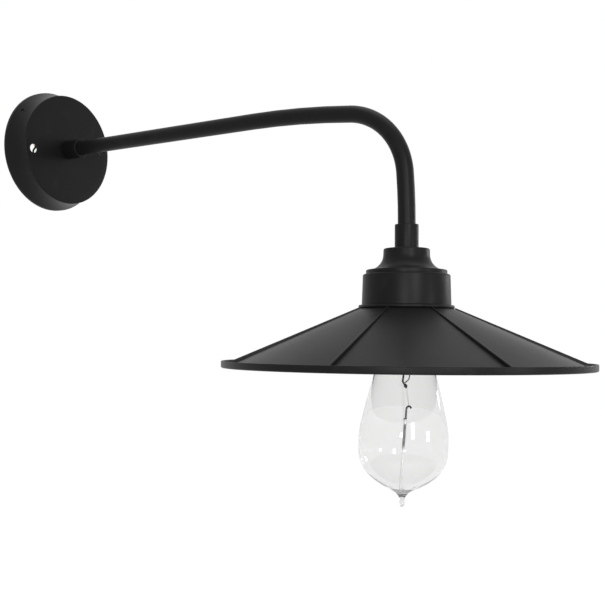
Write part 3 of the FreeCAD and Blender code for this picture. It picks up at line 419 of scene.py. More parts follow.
class Recipe:
    """The node tree of a material or a world, and the nodes that are added to it."""

    def __init__(self, owner):
        owner.use_nodes = True
        self.owner = owner
        self.tree = owner.node_tree
        self.tree.nodes.clear()

    def add(self, kind, settings, inputs):
        """A node of a type, its settings made first and then its sockets' values or links."""
        node = self.tree.nodes.new(kind)
        for key, value in settings.items():
            setattr(node, key, value)
        for key, value in inputs.items():
            value = value.socket if isinstance(value, Varying) else value
            if isinstance(value, bpy.types.NodeSocket):
                self.tree.links.new(value, node.inputs[key])
            else:
                node.inputs[key].default_value = value
        return node

    def principled(self, **inputs):
        """A Principled shader, with its sockets named with _ for a space."""
        named = {key.replace("_", " "): value for key, value in inputs.items()}
        return self.add("ShaderNodeBsdfPrincipled", {}, named).outputs[0]

    def end(self, kind="ShaderNodeOutputMaterial", **links):
        """The output node, and then the finished material or world."""
        self.add(kind, {}, links)
        return self.owner

    def place(self):
        return self.add("ShaderNodeTexCoord", {}, {}).outputs["Object"]

    def cloud(self, scale, detail=2.0, rough=0.5, at=None):
        """Soft noise about 0.5, with features 1 / scale metres across."""
        node = self.add("ShaderNodeTexNoise", {}, {"Vector": at or self.place(), "Scale": scale,
                                                   "Detail": detail, "Roughness": rough})
        return Varying(self, node.outputs["Fac"])

    def stretched(self, scale):
        """Object coordinates stretched by a scale for each axis."""
        return self.add("ShaderNodeMapping", {}, {"Vector": self.place(),
                                                  "Scale": scale}).outputs[0]

    def limit(self, value, low, high):
        """A number from low..high mapped to 0..1 and held there."""
        node = self.add("ShaderNodeMapRange", {}, {"Value": value, "From Min": low,
                                                   "From Max": high})
        return Varying(self, node.outputs[0])

    def blend(self, share, first, second):
        """Mix of two colours by a varying share."""
        return self.add("ShaderNodeMix", {"data_type": "RGBA"},
                        {0: share, 6: solid(first), 7: solid(second)}).outputs[2]

    def relief(self, value, distance, strength):
        """Bump from a height that varies between 0 and 1, distance metres deep."""
        return self.add("ShaderNodeBump", {}, {"Height": value, "Distance": distance,
                                               "Strength": strength}).outputs[0]

    def seen(self):
        """1 where the camera looks straight, through glass or by a mirror, and 0 elsewhere."""
        path = self.add("ShaderNodeLightPath", {}, {})
        rays = [Varying(self, path.outputs[kind])
                for kind in ("Is Camera Ray", "Is Transmission Ray", "Is Glossy Ray")]
        return self.limit(rays[0] + rays[1] + rays[2], 0.0, 1.0)


def new_finish(name):
    return Recipe(bpy.data.materials.new(name))


def solid(value):
    return (value[0], value[1], value[2], 1.0)


def paler(value, share):
    """A colour moved a share of the way to white."""
    return tuple(part + (1.0 - part) * share for part in value)


def darker(value, share):
    return tuple(part * share for part in value)


def black_paint(finish):
    """Satin black paint: fine orange peel, cloudy gloss and a little settled dust."""
    mix = new_finish("satin_black_paint")
    peel = mix.cloud(1500.0)
    grain = mix.cloud(5200.0, 1.0)
    cloudy = mix.cloud(22.0, 3.0)
    dust = mix.limit(mix.cloud(60.0, 5.0, 0.62), 0.56, 0.74)
    return mix.end(Surface=mix.principled(
        Base_Color=mix.blend(dust * 0.3, finish.paint, paler(finish.paint, 0.015)),
        Roughness=finish.paint_roughness + (cloudy - 0.5) * 0.12 + (grain - 0.5) * 0.06,
        Normal=mix.relief(peel * 0.7 + grain * 0.3, 0.00006, 0.55),
        Specular_IOR_Level=finish.paint_shine))


def plated(name, tint, roughness, cloud=0.25):
    """Plated steel: bright metal with a fine brushed grain and cloudy passivation."""
    mix = new_finish(name)
    grain = mix.cloud(1.0, 2.0, 0.6, mix.stretched((300.0, 4000.0, 4000.0)))
    cloudy = mix.cloud(70.0, 3.0)
    return mix.end(Surface=mix.principled(
        Base_Color=mix.blend(mix.limit(cloudy, 0.35, 0.7), tint, paler(tint, cloud)),
        Metallic=1.0, Roughness=roughness + (grain - 0.5) * 0.16 + (cloudy - 0.5) * 0.1,
        Normal=mix.relief(grain, 0.00002, 0.5)))


def brass(finish):
    """Pressed brass: warm metal, tarnished in patches."""
    mix = new_finish("pressed_brass")
    tarnish = mix.limit(mix.cloud(140.0, 4.0, 0.6), 0.45, 0.7)
    fine = mix.cloud(2600.0)
    return mix.end(Surface=mix.principled(
        Base_Color=mix.blend(tarnish * 0.6, finish.brass, darker(finish.brass, 0.55)),
        Metallic=1.0, Roughness=0.24 + tarnish * 0.16 + (fine - 0.5) * 0.08,
        Normal=mix.relief(fine, 0.00002, 0.4)))


def moulded(name, tint, roughness):
    """Moulded plastic: an even colour with a fine eroded grain."""
    mix = new_finish(name)
    grain = mix.cloud(2400.0, 3.0, 0.6)
    cloudy = mix.cloud(40.0)
    return mix.end(Surface=mix.principled(
        Base_Color=mix.blend(mix.limit(cloudy, 0.3, 0.7), tint, paler(tint, 0.05)),
        Roughness=roughness + (grain - 0.5) * 0.14 + (cloudy - 0.5) * 0.06,
        Normal=mix.relief(grain, 0.00005, 0.5)))


def glazed(name, tint):
    """Glazed ceramic: a glossy body with faint specks under the glaze."""
    mix = new_finish(name)
    specks = mix.limit(mix.cloud(900.0), 0.68, 0.74)
    waves = mix.cloud(120.0, 1.0)
    return mix.end(Surface=mix.principled(
        Base_Color=mix.blend(specks * 0.5, tint, darker(tint, 0.6)), Roughness=0.16 + waves * 0.06,
        Normal=mix.relief(waves, 0.0001, 0.25), Coat_Weight=0.4))


def blown_glass(finish):
    """Clear blown glass with faint long waves in its wall."""
    mix = new_finish("clear_bulb_glass")
    waves = mix.cloud(1.0, 1.0, 0.4, mix.stretched((60.0, 60.0, 16.0)))
    fading = mix.add("ShaderNodeVolumeAbsorption", {}, {"Color": solid(finish.glass_shade),
                                                        "Density": finish.glass_depth})
    glass = mix.principled(Base_Color=solid(finish.glass_tint), Roughness=0.0, IOR=1.47,
                           Transmission_Weight=1.0, Normal=mix.relief(waves, 0.0004, 0.12))
    return mix.end(Surface=glass, Volume=fading.outputs[0])


def rod_painted_highlight(finish):
    """Drawn glass rod, one glass throughout: a band below the head is grey, and the lower part and
    the head are a white near-mirror, a painted highlight that stands in for strong light on the
    rod.
    """
    mix = new_finish("rod_glass_painted_highlight")
    parts = mix.add("ShaderNodeSeparateXYZ", {}, {0: mix.place()})
    level = Varying(mix, parts.outputs["Z"])
    # upper marks the grey band below the head; the rest of the rod is white near-mirror metal, a
    # painted highlight.
    upper = mix.limit(level, -0.2505, -0.2475) * mix.limit(level, -0.2315, -0.2335)
    streaks = mix.cloud(1.0, 2.0, 0.5, mix.stretched((1500.0, 1500.0, 120.0)))
    return mix.end(Surface=mix.principled(
        Base_Color=mix.blend(upper, finish.rod_highlight_white, finish.rod_grey),
        Metallic=(1 - upper) * 0.8, Roughness=0.26 + streaks * 0.12, IOR=1.5,
        Transmission_Weight=0.4))


def fine_metal(finish):
    """Oxidised wire of the leads, hook and filament."""
    mix = new_finish("oxidised_wire")
    patches = mix.limit(mix.cloud(900.0, 3.0), 0.4, 0.65)
    return mix.end(Surface=mix.principled(
        Base_Color=mix.blend(patches, finish.filament, paler(finish.filament, 0.12)),
        Metallic=0.85, Roughness=0.42 + patches * 0.15))


MADE_FINISHES = {}


def finishes():
    """All materials by the record's slot, and the support rod's own with its painted highlight,
    made once.
    """
    if not MADE_FINISHES:
        finish = bpy.context.scene.sconce_finish
        MADE_FINISHES.update({
            "black_metal": black_paint(finish),
            "zinc_steel": plated("zinc_plate", finish.zinc, 0.3),
            "black_screw": plated("blackened_steel", finish.blackened, 0.5, 0.02),
            "brass": brass(finish),
            "white_plastic": moulded("white_plastic", finish.white_plastic, 0.36),
            "brown_wire": moulded("brown_insulation", finish.live, 0.4),
            "blue_wire": moulded("blue_insulation", finish.neutral, 0.4),
            "green_wire": moulded("green_insulation", finish.earth, 0.4),
            "black_resin": moulded("black_resin", finish.resin, 0.38),
            "ceramic": glazed("white_ceramic", finish.ceramic),
            "clear_glass": blown_glass(finish),
            "black_glass": glazed("black_glass_plug", finish.black_glass),
            "solder": plated("solder", finish.solder, 0.34),
            "filament_metal": fine_metal(finish),
            "rod_painted_highlight": rod_painted_highlight(finish),
        })
    return MADE_FINISHES


# ---------------------------------------------------------------- operators

class DressFittings(bpy.types.Operator):
    """Give every CAD node its finish"""
    bl_idname = "sconce.dress_fittings"
    bl_label = "Fittings"

    def execute(self, context):
        for name, node in frame["nodes"].items():
            finish = finishes()[slot_of(name)]
            if not node.material_slots:
                node.data.materials.append(finish)
            for entry in node.material_slots:
                entry.material = finish
        return {"FINISHED"}


class DressCanopy(bpy.types.Operator):
    """Wall canopy: a dished cup with a coved side, two face holes and two side holes"""
    bl_idname = "sconce.dress_canopy"
    bl_label = "Wall canopy"

    front_radius: length("Front radius", "Canopy's radius at its face", 49.7)
    centre_hole: length("Centre hole", "Hole that the arm's nipple passes", 5.1)
    band: length("Band", "Straight band at the wall", 3.0)
    face_hole_at: length("Face holes' place", "From the middle to a face hole", 40.4)
    face_hole_turn: angle("Face holes' turn", "Direction of the first face hole", 7.4)
    side_hole_radius: length("Side hole radius", "Radius of the set screws' holes", 2.1)
    side_hole_depth: length("Side holes' place", "From the wall to a side hole", 9.5)
    side_hole_turn: angle("Side holes' turn", "Direction of the first side hole", 144.0)

    EDGE = 1.0              # round of the face's edge
    WALL_CHAMFER = 0.25     # broken edge at the wall
    HOLE_CHAMFER = 0.35     # broken edge of a face hole
    BIT_START = 12.0        # depth inside the canopy at which a face hole's cutter starts
    DRILL = (40.0, 60.0)    # radii between which a side hole's cutter runs

    def side(self, inset):
        """Skin from the wall to the face: a straight band, the arc through the band's end, the
        waist and the face's edge, and a quarter round on to the face."""
        hollow = bpy.context.scene.sconce_sizes.canopy_hollow / MM
        foot = np.array([CANOPY_BACK_R - inset, self.band / MM])
        head = np.array([self.front_radius / MM - inset, CANOPY_DEPTH - inset - self.EDGE])
        across = np.array([head[1] - foot[1], foot[0] - head[0]])
        across /= np.linalg.norm(across)
        waist = (foot + head) / 2 - across * hollow
        turn = np.linspace(0, math.pi / 2, 9)[:, None]
        edge = head + self.EDGE * np.concatenate([np.cos(turn) - 1, np.sin(turn)], 1)
        cove = arc_through(foot, waist, head, 28)
        return np.concatenate([run((foot[0], 0.0), foot, 2)[:-1], cove[:-1], edge])

    def face_cutters(self, hole):
        """Cutters of the two face holes, which widen at the face."""
        front, beyond = CANOPY_DEPTH - self.HOLE_CHAMFER, CANOPY_DEPTH + 1.0
        wide = hole + beyond - front
        bit = rounded_line([(0, self.BIT_START), (hole, self.BIT_START), (hole, front),
                            (wide, beyond), (0, beyond)])
        points, faces = turned(bit, False, 48)
        for turn in (self.face_hole_turn, self.face_hole_turn + math.pi):
            yield points + spun((self.face_hole_at / MM, 0.0, 0.0), turn), faces

    def side_cutters(self):
        """Cutters of the two side holes, laid along X and then turned."""
        bore = self.side_hole_radius / MM
        near, far = self.DRILL
        points, faces = turned(rounded_line([(0, near), (bore, near), (bore, far), (0, far)]),
                               False, 32)
        points = np.stack([points[:, 2], points[:, 0],
                           points[:, 1] + self.side_hole_depth / MM], 1)
        for turn in (self.side_hole_turn, self.side_hole_turn + math.pi):
            yield spun(points, turn), faces

    def execute(self, context):
        sizes = context.scene.sconce_sizes
        wall = sizes.canopy_wall / MM
        bore = self.centre_hole / MM
        outside, inside = self.side(0.0), self.side(wall)
        outside[0] = (CANOPY_BACK_R, self.WALL_CHAMFER)
        lip = np.array([[CANOPY_BACK_R - self.WALL_CHAMFER, 0.0]])
        face = run(outside[-1], (bore, CANOPY_DEPTH), 6)[1:]
        under = run((bore, CANOPY_DEPTH - wall), inside[-1], 6)[:-1]
        profile = np.concatenate([lip, outside, face, under, inside[::-1]])
        made = piece("canopy_shell", [turned(profile, True, 224)], "lamp", "wall_canopy",
                     place=out_of_wall)
        holes = [*self.face_cutters(sizes.face_hole_radius / MM), *self.side_cutters()]
        cut_away(made, holes, out_of_wall)
        return {"FINISHED"}


class DressArm(bpy.types.Operator):
    """Bent arm tube and the collars at its ends"""
    bl_idname = "sconce.dress_arm"
    bl_label = "Arm"

    bends: bpy.props.FloatVectorProperty(
        name="Bend radii", description="Radii of the long start, the bend and the long end",
        default=(0.752, 0.0527, 0.45), size=3, unit="LENGTH")
    turns: bpy.props.FloatVectorProperty(
        name="Bend turns", description="How far each of the three arcs turns",
        default=(math.radians(6.93), math.radians(78.345), math.radians(4.725)), size=3,
        unit="ROTATION")
    collar_radius: length("Collar radius", "Outside radius of a collar", 8.5)
    collar_height: length("Collar height", "Height of a collar", 17.4)
    collar_bore: length("Collar bore", "Radius that takes the nipple", 5.0)
    tube_bore: length("Tube bore", "Radius that takes the tube", 6.45)
    tube_seat: length("Tube seat", "Height at which the tube stands in a collar", 8.8)

    ROUND = 64              # columns round the tube
    QUARTER = 40            # rows along a quarter turn of a bend

    def line(self, start, stop):
        """The arm's centre line in its plane: each arc's point is its centre plus the radius
        times (sin a, cos a), with the angle a running on from arc to arc."""
        ends = np.concatenate([[0.0], np.cumsum(self.turns)])
        ends[-1] = math.pi / 2
        out = [np.array([[0.0, 0.0]])]
        for radius, first, last in zip(np.array(self.bends) / MM, ends, ends[1:]):
            steps = 2 + int(self.QUARTER * (last - first) / math.pi * 2)
            turn = np.linspace(first, last, steps)[1:]
            centre = out[-1][-1] - radius * np.array([math.sin(first), math.cos(first)])
            out.append(centre + radius * np.stack([np.sin(turn), np.cos(turn)], 1))
        bend = np.concatenate(out)
        bend[:, 0] += -LAMP_Y - bend[-1, 0]
        straight = run((start, 0.0), bend[0], 24)[:-1]
        drop = run(bend[-1], (-LAMP_Y, stop), 4)[1:]
        flat = np.concatenate([straight, bend, drop])
        return np.stack([np.zeros(len(flat)), -flat[:, 0], flat[:, 1]], 1)

    def collar(self, foot):
        """A collar's shell: a plain ring, bored for the nipple and wider for the tube."""
        outer, top = self.collar_radius / MM, self.collar_height / MM
        bore, wide, seat = self.collar_bore / MM, self.tube_bore / MM, self.tube_seat / MM
        start = (bore, 8.0)
        outline = rounded_line([start, (bore, 0), (outer, 0, 0.4), (outer, top, 0.55), (wide, top),
                                (wide, seat), (bore, seat), start])[:-1]
        return turned(outline + np.array([0.0, foot]), True, 96)

    def execute(self, context):
        sizes = context.scene.sconce_sizes
        outer = sizes.tube_radius / MM
        inner = outer - sizes.tube_wall / MM
        path = self.line(-span("arm_tube", 1)[1], span("arm_tube")[0])
        skin, bore = (carried(path, circle(radius, self.ROUND), (1.0, 0.0, 0.0))
                      for radius in (outer, inner))
        bore = bore.reshape(len(path), self.ROUND, 3)[::-1].reshape(-1, 3)
        tube = (np.concatenate([skin, bore]), grid_faces(2 * len(path), self.ROUND, True))
        piece("arm_pipe", [tube], "lamp", "arm_tube", place=as_made)
        piece("wall_end_collar", [self.collar(CANOPY_DEPTH)], "lamp", "arm_base_collar",
              place=out_of_wall)
        piece("lamp_end_collar", [self.collar(span("arm_end_collar")[0])], "lamp",
              "arm_end_collar")
        return {"FINISHED"}


class DressHolderCover(bpy.types.Operator):
    """Flared cap, cup and gallery ring over the lampholder"""
    bl_idname = "sconce.dress_holder_cover"
    bl_label = "Holder cover"

    flare: length("Flare", "Radius of the cap's hollow curve", 11.2)
    head_radius: length("Head radius", "Cap's radius at its top", 16.4)
    flange_radius: length("Flange radius", "Cap's radius on the cup", 28.8)
    flange: length("Flange", "Height of the cap's flange", 3.0)
    spigot_radius: length("Spigot radius", "Part of the cap that drops into the cup", 24.5)
    cup_radius: length("Cup radius", "Cup's radius at its foot", 31.7)
    ring_radius: length("Ring radius", "Gallery ring's outside radius", 34.0)

    CAP_BORE = 5.1          # hole that the nipple passes
    CAP_ROOF = 2.0          # metal at the cap's top
    SPIGOT_WALL = 2.0
    FLANGE_SHEET = 1.2
    CUP_SHEET = 1.3
    CUP_DRAFT = 0.7         # how much narrower the cup is at its top
    RING_BORE = 27.0
    LIP = (29.0, 30.3, 1.6)     # radii and height of the ring's lip inside the cup

    def cap(self):
        foot, top = span("holder_cap")
        seat = span("holder_cup")[1]
        head, flange, spigot = (self.head_radius / MM, self.flange_radius / MM,
                                self.spigot_radius / MM)
        ledge = seat + self.flange / MM
        inner, roof = spigot - self.SPIGOT_WALL, top - self.CAP_ROOF
        ceiling = ledge - self.FLANGE_SHEET
        outside = rounded_line([(self.CAP_BORE, top), (head, top, 1.0),
                                (head + 0.6, ledge, self.flare / MM), (flange, ledge, 0.7),
                                (flange, seat, 0.3), (spigot, seat), (spigot, foot),
                                (inner, foot)], 12)
        inside = rounded_line([(inner, foot), (inner, ceiling, 1.0), (head - 1.4, ceiling, 5.0),
                               (head - 2.0, roof), (self.CAP_BORE, roof)], 8)
        return np.concatenate([outside[:-1], inside])

    def cup(self):
        foot, top = span("holder_cup")
        hole, wide = self.spigot_radius / MM, self.cup_radius / MM
        under = top - self.CUP_SHEET
        return rounded_line([(hole, top), (wide - self.CUP_DRAFT, top, 1.3), (wide, foot, 0.3),
                             (wide - self.CUP_SHEET, foot),
                             (wide - self.CUP_DRAFT - self.CUP_SHEET, under, 0.5),
                             (hole, under)], 8)

    def ring(self):
        foot, top = SHADE_SEAT, span("holder_cup")[0]
        bore, wide = self.RING_BORE, self.ring_radius / MM
        lip_in, lip_out, lip = self.LIP
        return rounded_line([(bore, foot), (wide, foot, 0.9), (wide, top, 0.9), (lip_out, top),
                             (lip_out, top + lip), (lip_in, top + lip), (lip_in, top),
                             (bore, top)], 8)

    def execute(self, context):
        for name, outline, node in (("flared_cap", self.cap(), "holder_cap"),
                                    ("holder_cup_shell", self.cup(), "holder_cup"),
                                    ("gallery_lip", self.ring(), "gallery_ring")):
            piece(name, [turned(outline, True, 160)], "lamp", node)
        return {"FINISHED"}


class DressShade(bpy.types.Operator):
    """Cone shade with its raised ribs and its upturned rim"""
    bl_idname = "sconce.dress_shade"
    bl_label = "Shade"

    neck_radius: length("Neck radius", "Where the flat seat turns into the cone", 33.8)
    skirt_radius: length("Skirt radius", "Where the cone meets the rim", 127.4)
    skirt_level: length("Skirt level", "Height of the cone at the rim", -192.0)
    seat_bore: length("Seat bore", "Hole that the lampholder passes", 20.4)
    first_rib: angle("First rib", "Direction of the first rib", -121.5)
    seam: angle("Rim seam", "Direction of the rim's seam", -64.0)

    SLANT = 1.094           # the sheet's upright measure over its thickness, on the cone
    RIB_START = 34.4        # radius at which the ribs start
    RIB_GAP = 0.1           # room between a rib and the rim band
    RIB_ROOT = 0.5          # how far a rib reaches into the cone
    RIB_CROWN = 0.55        # height of a rib's rounded top
    SEAM_REACH = 1.2        # half width of the fine columns at the seam
    SEAM_DEPTH = 0.35
    SEAM_WIDTH = 0.28

    def skin(self, radius):
        """Height of the cone's outer skin: a straight slope from the neck to the skirt."""
        neck, skirt = self.neck_radius / MM, self.skirt_radius / MM
        drop = self.skirt_level / MM - SHADE_SEAT
        return SHADE_SEAT + drop * (radius - neck) / (skirt - neck)

    def rib(self, turn):
        """A rib: its section is a wall with a rounded top, carried out along the cone, its
        height growing evenly from the neck to the rim."""
        sizes = bpy.context.scene.sconce_sizes
        wide = sizes.rib_width / MM / 2
        low, high = sizes.rib_neck_height / MM, sizes.rib_skirt_height / MM
        skirt = self.skirt_radius / MM
        last = RIM_R - sizes.rim_sheet / MM - self.RIB_GAP
        along = np.linspace(self.RIB_START, last, 60)
        tall = low + (high - low) * (along - self.RIB_START) / (last - self.RIB_START)
        upright = self.skin(along)
        foot = np.where(along > skirt - 0.1, self.skin(skirt) + 0.1, upright - self.RIB_ROOT)
        head = upright + tall
        lean = np.linspace(0, math.pi, 13)
        across = np.concatenate([[-wide] * 2, -wide * np.cos(lean), [wide] * 2])
        crown = np.minimum(self.RIB_CROWN, tall * 0.6)
        side = np.stack([foot, np.maximum(foot, head - crown)], 1)
        dome = (head - crown)[:, None] + crown[:, None] * np.sin(lean)[None] ** 0.6
        levels = np.concatenate([side, dome, side[:, ::-1]], 1)
        radial, sideways = np.meshgrid(along, across, indexing="ij")
        points = spun(np.stack([radial, sideways, levels], -1), turn)
        return capped(points.reshape(-1, 3), len(across))

    def cone(self, sheet):
        """Outline of the flat seat and the cone, from a place on the seat's top."""
        neck, skirt, bore = self.neck_radius / MM, self.skirt_radius / MM, self.seat_bore / MM
        edge, under = self.skin(skirt), SHADE_SEAT - sheet
        start = (26.0, SHADE_SEAT)
        outline = rounded_line([start, (bore, SHADE_SEAT), (bore, under), (neck - 0.3, under, 2.0),
                                (skirt, edge - sheet * self.SLANT), (skirt, edge),
                                (neck, SHADE_SEAT, 1.6), start], 5)[:-1]
        return evenly(outline, 4.0)

    def band(self, wall):
        """Rim band: columns are close together at the seam, where its rolled ends meet in a
        shallow groove, a bell curve of the way along the band."""
        skirt = self.skirt_radius / MM
        foot, rise = span("shade_rim")
        start = (skirt, foot + wall)
        outline = rounded_line([start, (skirt, foot), (RIM_R, foot, 1.0), (RIM_R, rise, 0.45),
                                (RIM_R - wall, rise, 0.45), (RIM_R - wall, foot + wall, 0.5),
                                start], 8)[:-1]
        fine = self.SEAM_REACH / RIM_R
        near = self.seam + np.linspace(-1, 1, 21) * fine
        rest = self.seam + np.linspace(fine, 2 * math.pi - fine, 256)[1:-1]

        def groove(radius, level, angle):
            off = (angle - self.seam) * RIM_R / self.SEAM_WIDTH
            return np.where(radius > RIM_R - wall * 0.6, -self.SEAM_DEPTH * np.exp(-off ** 2), 0.0)

        return turned(outline, True, angles=np.concatenate([near, rest]), shift=groove)

    def execute(self, context):
        sizes = context.scene.sconce_sizes
        turns = self.first_rib + 2 * math.pi * np.arange(sizes.rib_count) / sizes.rib_count
        cone = turned(self.cone(sizes.shade_sheet / MM), True, 256)
        piece("ribbed_cone", [cone, *map(self.rib, turns)], "lamp", "shade_cone")
        piece("upturned_rim", [self.band(sizes.rim_sheet / MM)], "lamp", "shade_rim")
        return {"FINISHED"}


class DressLampholder(bpy.types.Operator):
    """Threaded shell of the lampholder and its threaded liner"""
    bl_idname = "sconce.dress_lampholder"
    bl_label = "Lampholder"

    shell_radius: length("Shell radius", "Outside radius of the shell", 20.0)
    shell_bore: length("Shell bore", "Radius inside the shell", 15.0)
    flange_radius: length("Flange radius", "Radius of the shell's flange over the shade", 24.0)
    clamp_pitch: length("Clamp pitch", "Pitch of the thread under the shade", 1.8)
    liner_radius: length("Liner radius", "Outside radius of the liner", 14.0)

    FLANGE = 2.5            # height of the shell's flange
    SOCKET = (18.0, 1.5)    # radius and depth of the seat for the ceramic disc
    CLAMP_DEPTH = 0.45
    LINER_SHEET = 0.35
    LINER_HOLE = 8.0

    def shell(self):
        """The shell's outline, and its outside thread between its foot and the shade."""
        foot, top = span("lampholder_shell")
        out, bore, wide = (self.shell_radius / MM, self.shell_bore / MM, self.flange_radius / MM)
        socket, floor = self.SOCKET[0], top - self.SOCKET[1]
        flange = SHADE_SEAT + self.FLANGE
        outline = rounded_line([(out, SHADE_SEAT), (out, foot, 0.6), (bore, foot, 0.8),
                                (bore, floor), (socket, floor), (socket, top), (out, top),
                                (out, flange), (wide, flange, 0.5), (wide, SHADE_SEAT),
                                (out, SHADE_SEAT)], 6)[:-1]

        def thread(radius, level, angle):
            wave = thread_wave(level, angle, self.clamp_pitch / MM)
            on = (radius > out - 0.3) & (level < SHADE_SEAT - 1.6) & (level > foot + 1.0)
            return np.where(on, -self.CLAMP_DEPTH * wave, 0.0)

        return turned(evenly_round(outline, 0.35), True, 96, shift=thread)

    def liner(self, sizes):
        """The liner: its wall goes in and out with the thread's pitch, below its shoulder."""
        foot, top = span("screw_shell")
        out, sheet, hole = self.liner_radius / MM, self.LINER_SHEET, self.LINER_HOLE
        outer = rounded_line([(hole, top), (out, top, 0.6), (out, foot)])
        inner = rounded_line([(out - sheet, foot), (out - sheet, top - sheet, 0.3),
                              (hole, top - sheet)])

        def thread(radius, level, angle):
            wave = thread_wave(level, angle, sizes.thread_pitch / MM) * sizes.thread_depth / MM
            fade = rising(level, top - 2.2, -2.0) * rising(level, foot + 0.3, 1.0)
            return np.where(radius > out - 1.0, -wave * fade, 0.0)

        outline = evenly_round(np.concatenate([outer, inner]), 0.3)
        return turned(outline, True, 96, shift=thread)

    def execute(self, context):
        piece("threaded_shell", [self.shell()], "lamp", "lampholder_shell")
        piece("threaded_liner", [self.liner(context.scene.sconce_sizes)], "lamp", "screw_shell")
        return {"FINISHED"}


class DressBulb(bpy.types.Operator):
    """Bulb: threaded cap, blown glass, stem, leads, support rod, hook and filament"""
    bl_idname = "sconce.dress_bulb"
    bl_label = "Bulb"

    lean: angle("Lean", "How far the glass leans in its cap", 1.2)
    lean_towards: angle("Lean direction", "Side it leans to", 124.6)
    widest: length("Widest", "Largest radius of the glass", 31.7)
    rod_radius: length("Rod radius", "Radius of the support rod", 1.0)

    # Places in the glass are (sideways, height, across), with sideways to the side it leans to.
    ROD = [(1.4, -279.4, 0), (-0.9, -232.0, 0), (-1.2, -227.9, 0)]
    HOOK = [(-1.2, -229.0, 0), (-1.6, -221.4, 0), (-3.3, -219.2, 0), (-5.0, -221.4, 0)]
    LEAD = [(1.1, -192.0, 0), (1.1, -199.0, 0), (1.6, -202.6, 0), (-0.3, -205.6, 0)]
    THIN_LEAD = [(-3.2, -192.0, 1.2), (-3.2, -198.0, 1.2), (-2.6, -201.0, 1.2), (0.4, -204.0, 0.2)]
    WELD = [(-0.2, -204.3, 0), (-0.6, -206.0, 0), (-1.3, -207.2, 0)]
    FILAMENT = [(-0.6, -206.0, 0), (-3.3, -220.4, -0.75), (-3.3, -220.4, 0.75), (-1.0, -203.6, 0.8)]

    CAP_R = 13.3
    CAP_SHEET = 0.35
    CAP_HOLE = 11.4
    HINGE = -163.0          # height about which the glass leans
    NECK = (11.9, -153.0, -162.6)       # radius of the glass in the cap, and its two ends
    SHOULDER = (13.75, -164.2)
    WAIST = (22.2, -197.9)
    FLANK = 24.0            # how far the straight flank runs on past the waist
    WIDEST_LEVEL = -252.0
    HEEL = (10.4, -277.6)
    TIP_NECK = (1.8, -286.2)
    BEAD = 2.15             # radius of the drop at the tip
    HOLLOW = 1.4            # half the depth of the hollow inside, above the tip
    STEM_TOP = -160.3
    STEM_FOOT = -193.0
    STEM_R = 4.3

    def leaning(self, points):
        """Points turned about the cap's foot by the lean, then put on the lamp's axis."""
        hinge = (-math.sin(self.lean_towards), math.cos(self.lean_towards), 0.0)
        turn = np.array(Matrix.Rotation(-self.lean, 3, hinge))
        foot = np.array([0.0, 0.0, self.HINGE])
        return on_lamp_axis((points - foot) @ turn.T + foot)

    def wire(self, places, bends, radius, count=12, scale=None):
        """A round wire along places in the glass; scale(path) may swell it."""
        path = spun([(side, across, level) for side, level, across in places], self.lean_towards)
        path = evenly(rounded_path(path, bends, 10), radius * 1.2)
        across = spun((0.0, 1.0, 0.0), self.lean_towards)
        section = circle(radius, count)
        return capped(carried(path, section, across, scale(path) if scale else 1.0), count)

    def cap(self, sizes):
        """Cap: the wall goes in and out with the thread's pitch between shoulder and skirt."""
        foot, top = span("bulb_cap")
        out, hole = self.CAP_R, self.CAP_HOLE
        inner = out - self.CAP_SHEET
        outer_line = rounded_line([(hole, top), (11.8, top), (out, top - 1.8, 1.0),
                                   (out, foot, 0.25), (inner, foot)])
        inner_line = rounded_line([(inner, foot), (inner, top - 2.0, 0.8), (hole, top - 0.5)])
        wall = evenly_round(np.concatenate([outer_line, inner_line]), 0.3)

        def thread(radius, level, angle):
            wave = thread_wave(level, angle, sizes.thread_pitch / MM) * sizes.thread_depth / MM
            fade = rising(level, top - 2.2, -1.5) * rising(level, foot + 3.0, 1.5)
            return np.where(radius > out - 1.3, -wave * fade, 0.0)

        return turned(wall, True, 96, shift=thread)

    def glass_line(self, inset):
        """Half outline of the glass, moved in by inset: neck, straight flank, a curve that is
        upright at the widest place, and the rounded foot."""
        neck, top, low = self.NECK
        shoulder = np.array(self.SHOULDER) - (inset, 0)
        waist = np.array(self.WAIST) - (inset, 0)
        flank = (waist - shoulder) / np.linalg.norm(waist - shoulder)
        meet = waist + flank * self.FLANK
        wide = np.array([self.widest / MM - inset, self.WIDEST_LEVEL])
        heel = np.array(self.HEEL) + (-inset, inset)
        swell = bezier([meet, meet + flank * 17.0, wide + (0, 13.0), wide], 30)
        foot = bezier([wide, wide - (0, 13.5), heel + (9.0, 4.2), heel], 36)
        upper = rounded_line([(neck - inset, top), (neck - inset, low, 1.5), shoulder, meet])
        return np.concatenate([evenly(upper, 2.5)[:-1], swell[:-1], foot])

    def envelope(self, wall):
        """The glass: both outlines, the drawn-out tip and its drop, and the inside's floor,
        which has a cosine-shaped hollow above the tip."""
        outside, inside = self.glass_line(0.0), self.glass_line(wall)
        heel, neck = outside[-1], np.array(self.TIP_NECK)
        tip = bezier([heel, heel - (5.0, 2.3), neck + (0.6, 4.2), neck], 28)[1:]
        turn = np.radians(np.linspace(-38, 90, 22))[:, None]
        middle = (0.0, span("bulb_glass")[0] + self.BEAD)
        ball = middle + self.BEAD * np.concatenate([np.cos(turn), -np.sin(turn)], 1)
        ball[-1, 0] = 0.0
        rim = inside[-1]
        floor = run((0.0, 0.0), (rim[0], 0.0), 12)[:-1]
        floor[:, 1] = rim[1] - self.HOLLOW * (1 + np.cos(math.pi * floor[:, 0] / rim[0]))
        return turned(np.concatenate([floor, inside[::-1], outside, tip, ball]), False, 192)

    def swelling(self, path):
        """Even rod that swells into a rounded head over its last four millimetres."""
        down = self.ROD[-1][1] - path[:, 2]
        dome = np.sqrt(1 - (1 - rising(down, 0.0, 0.9)) ** 2)
        head = 1.0 + 0.45 * (1 + np.cos(math.pi * rising(down, 0.0, 4.4)))
        return head * np.maximum(dome, 0.02)

